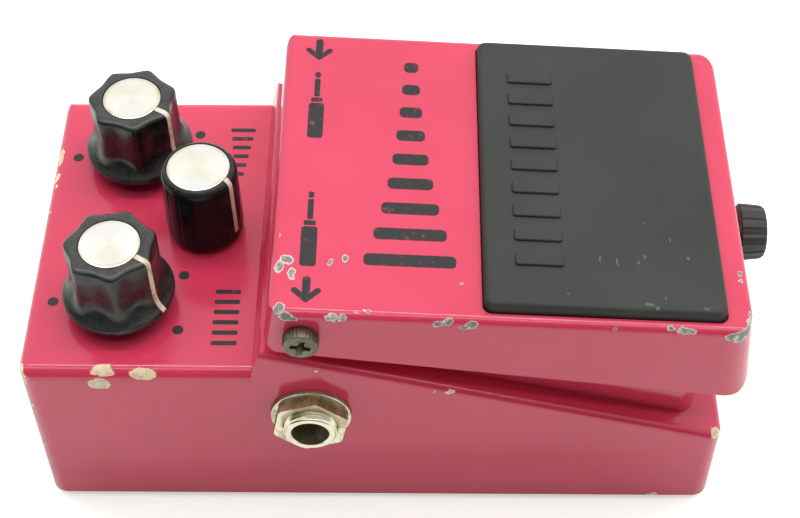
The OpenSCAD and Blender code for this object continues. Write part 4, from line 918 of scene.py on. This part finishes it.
def tapered_bar(turn, sign, front, rear):
    form = bmesh.new()
    for along, half_length, half_width in ((CROSS_FRONT, *front), (CROSS_REAR, *rear)):
        for a in (-half_length, half_length):
            for b in (-half_width, half_width):
                spun = Matrix.Rotation(turn, 2) @ Vector((a, b))
                form.verts.new((sign * along, HINGE_Y + spun.x, HINGE_Z + spun.y))
    bmesh.ops.convex_hull(form, input=form.verts)
    return form


screw_rings = [
    ring_at(h, r, 4 * KNURLS, knurled if r > KNURLED_ABOVE else None) for h, r in SCREW_PROFILE
]
for name, sign in (("near", -1), ("far", 1)):
    outward = Matrix.Translation((0, HINGE_Y, HINGE_Z)) @ Matrix.Rotation(sign * math.pi / 2, 4, "Y")
    screw = make_piece(
        name + "_hinge_screw", loft(screw_rings), dull_steel, "case", outward
    )
    for turn, (front, rear) in CROSS_CUTS:
        carve(screw, tapered_bar(turn, sign, front, rear))
    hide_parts("hinge_screws")
print("hinge screws turned")

# %% [markdown]
# ## The rubber pad
# The foot presses on a moulded rubber pad that sits in a shallow recess and stands two millimetres
# proud, with soft edges all round. It is a loft of rounded rectangles that shrink as they rise. Low
# raised bars across its rear part give the sole some grip. Rubber is matt with a faint sheen, and shoes
# have left a few pale scratches: thin stretched balls in the same kind of field as the chips in the
# paint.

# %% Place of the pad
TREADLE_REAR_Y = 17.05
TREADLE_REAR_Z = 57.15
TREADLE_FRONT_Y = -61.04
TREADLE_FRONT_Z = 52.4
TREADLE_SLOPE = math.atan((TREADLE_REAR_Z - TREADLE_FRONT_Z) / (TREADLE_REAR_Y - TREADLE_FRONT_Y))
TREADLE_REAR = Matrix.Translation((0, TREADLE_REAR_Y, TREADLE_REAR_Z))
ON_TREADLE = TREADLE_REAR @ Matrix.Rotation(TREADLE_SLOPE, 4, "X")

print("treadle slopes by", round(math.degrees(TREADLE_SLOPE), 2), "degrees")

# %% Soft slabs
LEAST_CORNER = 0.2
CORNER_SHRINK = 0.6


def rounded_ring(half_width, half_length, corner, height, steps=12):
    points = []
    for sx, sy, start in ((1, 1, 0), (-1, 1, 90), (-1, -1, 180), (1, -1, 270)):
        for i in range(steps + 1):
            angle = math.radians(start + 90 * i / steps)
            points.append(Vector((
                sx * (half_width - corner) + corner * math.cos(angle),
                sy * (half_length - corner) + corner * math.sin(angle),
                height,
            )))
    return points


def soft_slab(half_width, half_length, corner, bottom, top, edge, steps=8):
    rings = [rounded_ring(half_width, half_length, corner, bottom)]
    for i in range(steps + 1):
        angle = math.radians(90 * i / steps)
        inset = edge * (1 - math.cos(angle))
        rise = top - edge + edge * math.sin(angle)
        round_off = max(LEAST_CORNER, corner - CORNER_SHRINK * inset)
        rings.append(rounded_ring(half_width - inset, half_length - inset, round_off, rise))
    return loft(rings)


print("slab corners never get sharper than", LEAST_CORNER, "mm")

# %% Scratched rubber
RUBBER_MIRROR = 0.4
RUBBER_CLOUD_SCALE = 40.0
RUBBER_CLOUD_SPAN = (0.3, 0.75)
RUBBER_PALER = 1.5
RUBBER_GRAIN_SCALE = 2600.0
PAD_GREY = (0.027, 0.030, 0.026)
SCRATCH_PALE = (0.22, 0.235, 0.22)
SCRATCH_SHARE = 0.5
SCRATCH_BAND = (0.20 * MM, -0.60 * MM)
SCRATCH_COARSE = 0.45 * MM
SCRATCH_FINE = 0.32 * MM
PAD_SCRATCHES = [
    (-20.0, -36.5, 55.9, 0.85, 0.20, 0.6), (-20.5, -39.4, 55.7, 0.9, 0.20, 0.6),
    (-19.2, -43.8, 55.4, 0.65, 0.16, 0.6), (-20.4, -42.8, 55.5, 0.3, 0.32, 0.5),
    (-15.4, -48.4, 55.2, 0.6, 0.14, 0.5), (-19.1, -51.0, 55.0, 0.35, 0.2, 0.5),
    (-12.0, -44.2, 55.4, 0.4, 0.15, 0.5), (-27.5, -30.9, 56.2, 0.3, 0.2, 0.5),
    (-27.5, -46.6, 55.3, 0.4, 0.15, 0.5), (-29.1, -43.8, 55.4, 0.4, 0.9, 0.5),
    (-29.6, -45.2, 55.2, 0.4, 0.35, 0.5), (-29.4, -53.1, 54.7, 0.3, 0.6, 0.5),
]


def make_rubber(name, colour, roughness, scratches=None):
    material, tree, shader = start_finish(name, colour, roughness)
    shader.inputs["Specular IOR Level"].default_value = RUBBER_MIRROR
    coordinates = piece_coordinates(tree)
    cloud = grain(tree, coordinates, RUBBER_CLOUD_SCALE, detail=5.0).outputs["Fac"]
    paler = tuple(RUBBER_PALER * c for c in colour)
    tone = mix_colour(tree, remap(tree, cloud, *RUBBER_CLOUD_SPAN), colour, paler)
    if scratches:
        field = chip_field(tree, coordinates, scratches, SCRATCH_COARSE, SCRATCH_FINE)
        scratched = remap(tree, field, *SCRATCH_BAND, 0.0, SCRATCH_SHARE)
        tone = mix_colour(tree, scratched, tone, SCRATCH_PALE)
    tree.links.new(tone, shader.inputs["Base Color"])
    fine = grain(tree, coordinates, RUBBER_GRAIN_SCALE, detail=2.0).outputs["Fac"]
    bump(tree, shader, fine, strength=0.2, distance=0.05 * MM)
    return material


pad_rubber = make_rubber("pad_rubber", PAD_GREY, roughness=0.58, scratches=PAD_SCRATCHES)
print("scratches on the pad:", len(PAD_SCRATCHES))

# %% Make the pad
PAD_REAR = -34.2
PAD_RECESS_LENGTH = 39.9
PAD_MIDDLE = PAD_REAR - PAD_RECESS_LENGTH / 2
PAD_HALF_WIDTH = 30.4
PAD_HALF_LENGTH = 19.7
PAD_CORNER = 1.6
PAD_BOTTOM = -1.2
PAD_TOP = 2.0
PAD_EDGE = 1.05
GRIP_BARS = 9
GRIP_BAR_PITCH = 5.2
GRIP_BAR_ROW = 10.6
GRIP_BAR_HALF = (1.3, 4.0)
GRIP_BAR_CORNER = 0.5
GRIP_BAR_EDGE = 0.35
GRIP_BAR_LOW = PAD_TOP - 0.3
GRIP_BAR_HIGH = PAD_TOP + 0.45

pad_place = ON_TREADLE @ Matrix.Translation((0, PAD_MIDDLE, 0))
pad_form = soft_slab(PAD_HALF_WIDTH, PAD_HALF_LENGTH, PAD_CORNER, PAD_BOTTOM, PAD_TOP, PAD_EDGE)
pad = make_piece("moulded_pad", pad_form, pad_rubber, "treadle", pad_place)
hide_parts("treadle_pad")
for i in range(GRIP_BARS):
    across = (i - (GRIP_BARS - 1) / 2) * GRIP_BAR_PITCH
    bar_place = pad_place @ Matrix.Translation((across, GRIP_BAR_ROW, 0))
    bar = soft_slab(
        *GRIP_BAR_HALF, GRIP_BAR_CORNER, GRIP_BAR_LOW, GRIP_BAR_HIGH, GRIP_BAR_EDGE, steps=4
    )
    make_piece(f"grip_bar_{i}", bar, pad_rubber, "treadle", bar_place)
print("pad and grip bars moulded")

# %% [markdown]
# ## Printed marks
# Black ink marks the signal's way in and out with arrows and plug signs, and a row of shrinking bars
# stands for the echo that dies away. Dots mark the ends and the middle of each knob's turn. Each mark
# is a flat outline laid on the paint with a hair's thickness, so that it shows from any side and needs
# no picture.

# %% Ink
INK_BLACK = (0.016, 0.014, 0.016)
INK_RUB_SCALE = 900.0
INK_RUB_SPAN = (0.60, 0.78)
INK_RUB_SHARE = 0.6


def make_ink():
    material, tree, shader = start_finish("printing_ink", INK_BLACK, roughness=0.4)
    rub = grain(tree, piece_coordinates(tree), INK_RUB_SCALE, detail=5.0).outputs["Fac"]
    worn = remap(tree, rub, *INK_RUB_SPAN, 0.0, INK_RUB_SHARE)
    tree.links.new(mix_colour(tree, worn, INK_BLACK, PAINT_DEEP), shader.inputs["Base Color"])
    return material


ink = make_ink()
print("ink mixed:", ink.name)

# %% Outlines of bars, dots, arrows and plugs
ARROW_LEAN = math.radians(45)
ARROW_ARM = 2.7
ARROW_LENGTH = 5.3
ARM_HALF = 0.52
SHAFT_HALF = 0.66

# Each part of a plug sign is its place along the sign, half length, half width and corner
PLUG_PARTS = [
    (4.2, 4.2, 1.35, 0.6), (9.2, 0.5, 1.0, 0.2), (12.2, 2.2, 0.5, 0.2), (15.4, 0.7, 0.5, 0.45),
]


def bar_outline(x, y, half_x, half_y, corner, steps=5):
    return [(p.x + x, p.y + y) for p in rounded_ring(half_x, half_y, corner, 0.0, steps)]


def arc_points(x, y, radius, start, end, steps=8):
    angles = [math.radians(start + (end - start) * i / steps) for i in range(steps + 1)]
    return [(x + radius * math.cos(a), y + radius * math.sin(a)) for a in angles]


def dot_outline(x, y, radius, count=28):
    angles = [2 * math.pi * i / count for i in range(count)]
    return [(x + radius * math.cos(a), y + radius * math.sin(a)) for a in angles]


def arrow_outline(tip_x, y, length):
    lean = math.degrees(ARROW_LEAN)
    nose_x = tip_x + ARM_HALF
    arm_x = nose_x + ARROW_ARM * math.cos(ARROW_LEAN)
    arm_y = ARROW_ARM * math.sin(ARROW_LEAN)
    slide = (arm_y - ARM_HALF * math.cos(ARROW_LEAN) - SHAFT_HALF) / math.tan(ARROW_LEAN)
    inner_x = arm_x + ARM_HALF * math.sin(ARROW_LEAN) - slide
    back_x = tip_x + length - SHAFT_HALF
    far_arm = arc_points(arm_x, y + arm_y, ARM_HALF, 90 + lean, lean - 90)
    near_arm = arc_points(arm_x, y - arm_y, ARM_HALF, 90 - lean, -90 - lean)
    tail = arc_points(back_x, y, SHAFT_HALF, 90, -90)
    nose = arc_points(nose_x, y, ARM_HALF, 270 - lean, 90 + lean)
    far_half = far_arm + [(inner_x, y + SHAFT_HALF)]
    near_half = [(inner_x, y - SHAFT_HALF)] + near_arm
    return far_half + tail + near_half + nose[1:-1]


def plug_outlines(x, y):
    return [bar_outline(x + along, y, *part) for along, *part in PLUG_PARTS]


print("points round an arrow:", len(arrow_outline(0.0, 0.0, ARROW_LENGTH)))

# %% Print the treadle
INK_RISE = 0.03
SIGNAL_ROW = 11.15 - TREADLE_REAR_Y
ECHO_ROW = -5.5 - TREADLE_REAR_Y
ECHO_BARS = 9
ECHO_START = -20.5
ECHO_PITCH = 5.6
ECHO_LONGEST = 7.6
ECHO_FADE = 0.80
ECHO_HALF_WIDTH = 1.25
ECHO_CORNER = 0.9


def print_marks(name, outlines, material, body, place):
    form = bmesh.new()
    for outline in outlines:
        lower = [form.verts.new((x, y, -INK_RISE)) for x, y in outline]
        upper = [form.verts.new((x, y, INK_RISE)) for x, y in outline]
        count = len(outline)
        form.faces.new(upper)
        form.faces.new(list(reversed(lower)))
        for i in range(count):
            j = (i + 1) % count
            form.faces.new((lower[i], lower[j], upper[j], upper[i]))
    bmesh.ops.recalc_face_normals(form, faces=form.faces)
    make_piece(name, form, material, body, place)


near_arrow = arrow_outline(-29.9, SIGNAL_ROW, ARROW_LENGTH)
far_arrow = arrow_outline(25.3, SIGNAL_ROW, ARROW_LENGTH)
print_marks("near_arrow", [near_arrow], ink, "treadle", ON_TREADLE)
print_marks("far_arrow", [far_arrow], ink, "treadle", ON_TREADLE)
print_marks("near_plug_sign", plug_outlines(-22.5, SIGNAL_ROW), ink, "treadle", ON_TREADLE)
print_marks("far_plug_sign", plug_outlines(6.0, SIGNAL_ROW), ink, "treadle", ON_TREADLE)
echo_bars = []
for i in range(ECHO_BARS):
    along = ECHO_START + ECHO_PITCH * i
    half = ECHO_LONGEST * ECHO_FADE ** i
    echo_bars.append(bar_outline(along, ECHO_ROW, ECHO_HALF_WIDTH, half, ECHO_CORNER))
print_marks("echo_bars", echo_bars, ink, "treadle", ON_TREADLE)
print("echo bars on the treadle:", len(echo_bars))

# %% Print the panel
ON_PANEL = Matrix.Translation((0, 0, PANEL_Z))
DOT_CIRCLE = 11.85
DOT_RADIUS = 0.95
DOT_TURNS = (0, 150, 210)
TICK_COUNT = 6
TICK_PITCH = 2.2
TICK_ROW = 26.0
TICK_HALF_WIDTH = 0.45
TICK_CORNER = 0.3


def tick_outline(start, i, half):
    return bar_outline(start + TICK_PITCH * i, TICK_ROW, TICK_HALF_WIDTH, half, TICK_CORNER)


dots = []
for side in ("left", "right"):
    cx, cy = CONTROLS[side][0]
    for turn in (math.radians(degrees) for degrees in DOT_TURNS):
        dot_x = cx + DOT_CIRCLE * math.sin(turn)
        dot_y = cy + DOT_CIRCLE * math.cos(turn)
        dots.append(dot_outline(dot_x, dot_y, DOT_RADIUS))
print_marks("knob_dots", dots, ink, "case", ON_PANEL)
rate_bars = [tick_outline(-25.5, i, 2.2) for i in range(TICK_COUNT)]
depth_bars = [tick_outline(13.0, i, 0.8 + 0.3 * i) for i in range(TICK_COUNT)]
print_marks("rate_bars", rate_bars, ink, "case", ON_PANEL)
print_marks("depth_bars", depth_bars, ink, "case", ON_PANEL)
print("dots on the panel:", len(dots))

# %% [markdown]
# ## Spring and working parts
# Under the treadle a coil spring pushes back against the foot, so it must shorten as the treadle goes
# down; here it is a swept tube carried by the case. The rest are the CAD pieces
# themselves, each in the finish of the real material: nylon bushes, plated screws, laminate boards.

# %% The spring
SPRING_X = 13.0
SPRING_Y = -13.0
SPRING_LOW = 35.08
SPRING_HIGH = 50.3
SPRING_RADIUS = 4.9
SPRING_TURNS = 6
SPRING_GREY = (0.55, 0.55, 0.54)
STEPS_PER_TURN = 32
WIRE_RADIUS = 0.6
WIRE_SIDES = 10


def spring_form():
    steps = SPRING_TURNS * STEPS_PER_TURN
    rise = SPRING_HIGH - SPRING_LOW - 2 * WIRE_RADIUS
    rings = []
    for i in range(steps + 1):
        share = i / steps
        angle = 2 * math.pi * SPRING_TURNS * share
        out = Vector((math.cos(angle), math.sin(angle), 0))
        centre = out * SPRING_RADIUS + Vector((0, 0, SPRING_LOW + WIRE_RADIUS + rise * share))
        rings.append([
            centre + WIRE_RADIUS * (math.cos(t) * out + Vector((0, 0, math.sin(t))))
            for t in (2 * math.pi * k / WIRE_SIDES for k in range(WIRE_SIDES))
        ])
    return loft(rings)


spring_steel = make_dull_steel("spring_steel", SPRING_GREY)
spring_place = Matrix.Translation((SPRING_X, SPRING_Y, 0))
spring = make_piece(
    "coil_spring", spring_form(), spring_steel, "case", spring_place
)
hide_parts("return_spring")
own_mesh(spring)
print("spring wound with", SPRING_TURNS, "turns")

# %% Moulded plastics
MOULDED_TONE = 0.12
MOULDED_SPAN = (0.35, 0.75)
MOULDED_SHADE = 0.75
NYLON_WHITE = (0.72, 0.70, 0.64)
PLASTIC_BLACK = (0.022, 0.022, 0.024)
LENS_RED = (0.42, 0.012, 0.010)
SLEEVE_BLUE = (0.02, 0.035, 0.16)


def make_moulded(name, colour, roughness, scale=700.0, texture=0.15):
    material, tree, shader = start_finish(name, colour, roughness)
    coordinates = piece_coordinates(tree)
    cloud = grain(tree, coordinates, scale * MOULDED_TONE, detail=5.0).outputs["Fac"]
    darker = tuple(MOULDED_SHADE * c for c in colour)
    tone = mix_colour(tree, remap(tree, cloud, *MOULDED_SPAN), colour, darker)
    tree.links.new(tone, shader.inputs["Base Color"])
    fine = grain(tree, coordinates, scale, detail=2.0).outputs["Fac"]
    bump(tree, shader, fine, strength=texture, distance=0.05 * MM)
    return material


nylon = make_moulded("white_nylon", NYLON_WHITE, roughness=0.5)
dark_plastic = make_moulded("dark_plastic", PLASTIC_BLACK, roughness=0.45)
red_lens = make_moulded("red_lens", LENS_RED, roughness=0.12, texture=0.02)
blue_sleeve = make_moulded("blue_sleeve", SLEEVE_BLUE, roughness=0.3)
print("plastics:", nylon.name, dark_plastic.name, red_lens.name, blue_sleeve.name)

# %% Boards and battery
BOARD_GREEN = (0.04, 0.18, 0.08)
BOARD_DARK = (0.03, 0.16, 0.07, 1.0)
BOARD_PALE = (0.04, 0.20, 0.09, 1.0)
TRACK_GREEN = (0.10, 0.34, 0.15, 1.0)
TRACK_SCALE = 160.0
TRACK_WIDTH = 0.06
BATTERY_GREY = (0.07, 0.08, 0.10)
BATTERY_DARK = (0.055, 0.06, 0.075)
BATTERY_COPPER = (0.55, 0.33, 0.10)
BATTERY_STEEL = (0.62, 0.61, 0.58)
COPPER_EDGE = (0.0100, 0.0102)
STEEL_EDGE = (0.0221, 0.0222)
BATTERY_SCALE = 300.0
BATTERY_SPAN = (0.3, 0.8)
BATTERY_SHINE = (0.25, 0.5)


def make_laminate():
    material, tree, shader = start_finish("board_laminate", BOARD_GREEN, roughness=0.4)
    tracks = add_node(tree, "ShaderNodeTexBrick", {
        "Vector": piece_coordinates(tree), "Scale": TRACK_SCALE, "Mortar Size": TRACK_WIDTH,
        "Color1": BOARD_DARK, "Color2": BOARD_PALE, "Mortar": TRACK_GREEN,
    })
    tree.links.new(tracks.outputs["Color"], shader.inputs["Base Color"])
    bump(tree, shader, tracks.outputs["Fac"], strength=0.2, distance=0.05 * MM)
    return material


def make_battery_wrap():
    material, tree, shader = start_finish("battery_wrap", BATTERY_GREY, roughness=0.35, metallic=0.5)
    coordinates = piece_coordinates(tree)
    along = add_node(tree, "ShaderNodeSeparateXYZ", {"Vector": coordinates}).outputs["X"]
    band = remap(tree, along, *COPPER_EDGE)
    cap = remap(tree, along, *STEEL_EDGE)
    wrap = mix_colour(tree, band, BATTERY_DARK, BATTERY_COPPER)
    tree.links.new(mix_colour(tree, cap, wrap, BATTERY_STEEL), shader.inputs["Base Color"])
    fine = grain(tree, coordinates, BATTERY_SCALE).outputs["Fac"]
    tree.links.new(remap(tree, fine, *BATTERY_SPAN, *BATTERY_SHINE), shader.inputs["Roughness"])
    return material


dress(make_laminate(), "main_board", "switch_board")
dress(make_battery_wrap(), "battery")
print("boards and battery finished")

# %% Dress the working parts
PLATED_GREY = (0.60, 0.59, 0.55)

plated = make_dull_steel("plated_steel", PLATED_GREY)
dress(nylon, "hinge_bushes", "guide_bush", "thumbscrew_ring", "switch_plunger", "board_spacers")
dress(dark_plastic, "switch_body", "power_inlet", "board_chips", "led_holder")
dress(dark_plastic, "output_jack_body", "input_jack_body")
dress(plated, "bottom_plate", "bottom_screws", "thumbscrew_shank", "switch_screws", "spring_cup")
dress(plated, *[side + "_pot_body" for side in CONTROLS])
dress(plated, *[side + "_pot_shaft" for side in CONTROLS])
dress(nickel_clean, "pot_nuts", "pot_washers", "power_inlet_pin")
dress(red_lens, "led_lens")
dress(blue_sleeve, "board_capacitors")
print("working parts finished")

# %% [markdown]
# ## Thumbscrew, mat and pusher
# The thumbscrew's head is a short cone of dark satin plastic with fine raised splines, lofted from
# rings whose radius peaks at each spline. The mat under the pedal and the pusher above the foot switch
# are rubber, so they get soft edges: the mat is a rounded slab with a well carved out for each base
# screw, and the pusher is a turned plug with a waist.

# %% The thumbscrew
THUMB_Z = 39.2
THUMB_BLACK = (0.034, 0.035, 0.031)
THUMB_PROFILE = [
    (66.1, 2.02), (63.8, 2.02), (63.8, 4.95), (63.95, 5.13), (65.5, 5.0), (67.7, 4.78), (68.1, 4.6),
    (68.3, 4.35), (68.4, 4.05), (68.4, 3.1), (68.3, 3.0), (68.12, 2.9),
]
SPLINES = 18
SPLINE_DEPTH = 0.2
SPLINE_HALF_WIDTH = 0.34
SPLINED_ABOVE = 4.5
POINTS_PER_SPLINE = 12


def splined(angle, radius):
    pitch = 2 * math.pi / SPLINES
    off = abs((angle + pitch / 2) % pitch - pitch / 2) * radius
    fall = min(1.0, off / SPLINE_HALF_WIDTH)
    return radius - SPLINE_DEPTH * fall * fall * (3 - 2 * fall)


thumb_plastic = make_moulded("thumbscrew_black", THUMB_BLACK, roughness=0.45, scale=1100.0)
thumb_place = Matrix.Translation((0, 0, THUMB_Z)) @ Matrix.Rotation(math.pi / 2, 4, "X")
thumb_rings = [
    ring_at(h, r, POINTS_PER_SPLINE * SPLINES, splined if r > SPLINED_ABOVE else None)
    for h, r in THUMB_PROFILE
]
thumb_head = make_piece(
    "splined_head", loft(thumb_rings), thumb_plastic, "thumbscrew", thumb_place
)
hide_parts("thumbscrew_head")
print("thumbscrew with", SPLINES, "splines")

# %% Mat and pusher
TURNED_COUNT = 48
MAT_BLACK = (0.018, 0.018, 0.018)
MAT_HALF_WIDTH = 29.2
MAT_HALF_LENGTH = 57.55
MAT_THICKNESS = 2.0
MAT_EDGE = 0.5
MAT_CORNER = 3.0
WELL_RADIUS = 3.9
WELL_ENDS = (-1.0, MAT_THICKNESS + 1.0)
WELL_PLACES = [(x, y) for x in (-26.0, 26.0) for y in (-54.35, 54.35)]
PUSHER_PROFILE = [
    (47.5, 2.6), (47.58, 3.0), (47.85, 3.32), (48.3, 3.48), (49.6, 3.36), (50.8, 3.36), (51.6, 3.48),
    (52.1, 3.4), (52.25, 3.2), (52.25, 1.4), (53.3, 1.4), (53.5, 1.2),
]

mat_rubber = make_rubber("mat_rubber", MAT_BLACK, roughness=0.7)
face_down = Matrix.Translation((0, 0, MAT_THICKNESS)) @ Matrix.Rotation(math.pi, 4, "X")
mat_form = soft_slab(
    MAT_HALF_WIDTH, MAT_HALF_LENGTH, MAT_CORNER, 0.0, MAT_THICKNESS, MAT_EDGE, steps=5
)
mat = make_piece("rubber_mat", mat_form, mat_rubber, "case", face_down)
for x, y in WELL_PLACES:
    well = loft([
        [Vector((x, y, 0)) + point for point in ring_at(height, WELL_RADIUS, TURNED_COUNT)]
        for height in WELL_ENDS
    ])
    carve(mat, well)
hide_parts("base_rubber")
pusher_form = loft([ring_at(h, r, TURNED_COUNT) for h, r in PUSHER_PROFILE])
pusher_place = Matrix.Translation((-SPRING_X, SPRING_Y, 0))
pusher = make_piece("rubber_pusher", pusher_form, mat_rubber, "treadle", pusher_place)
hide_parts("switch_pusher")
print("mat and pusher made")
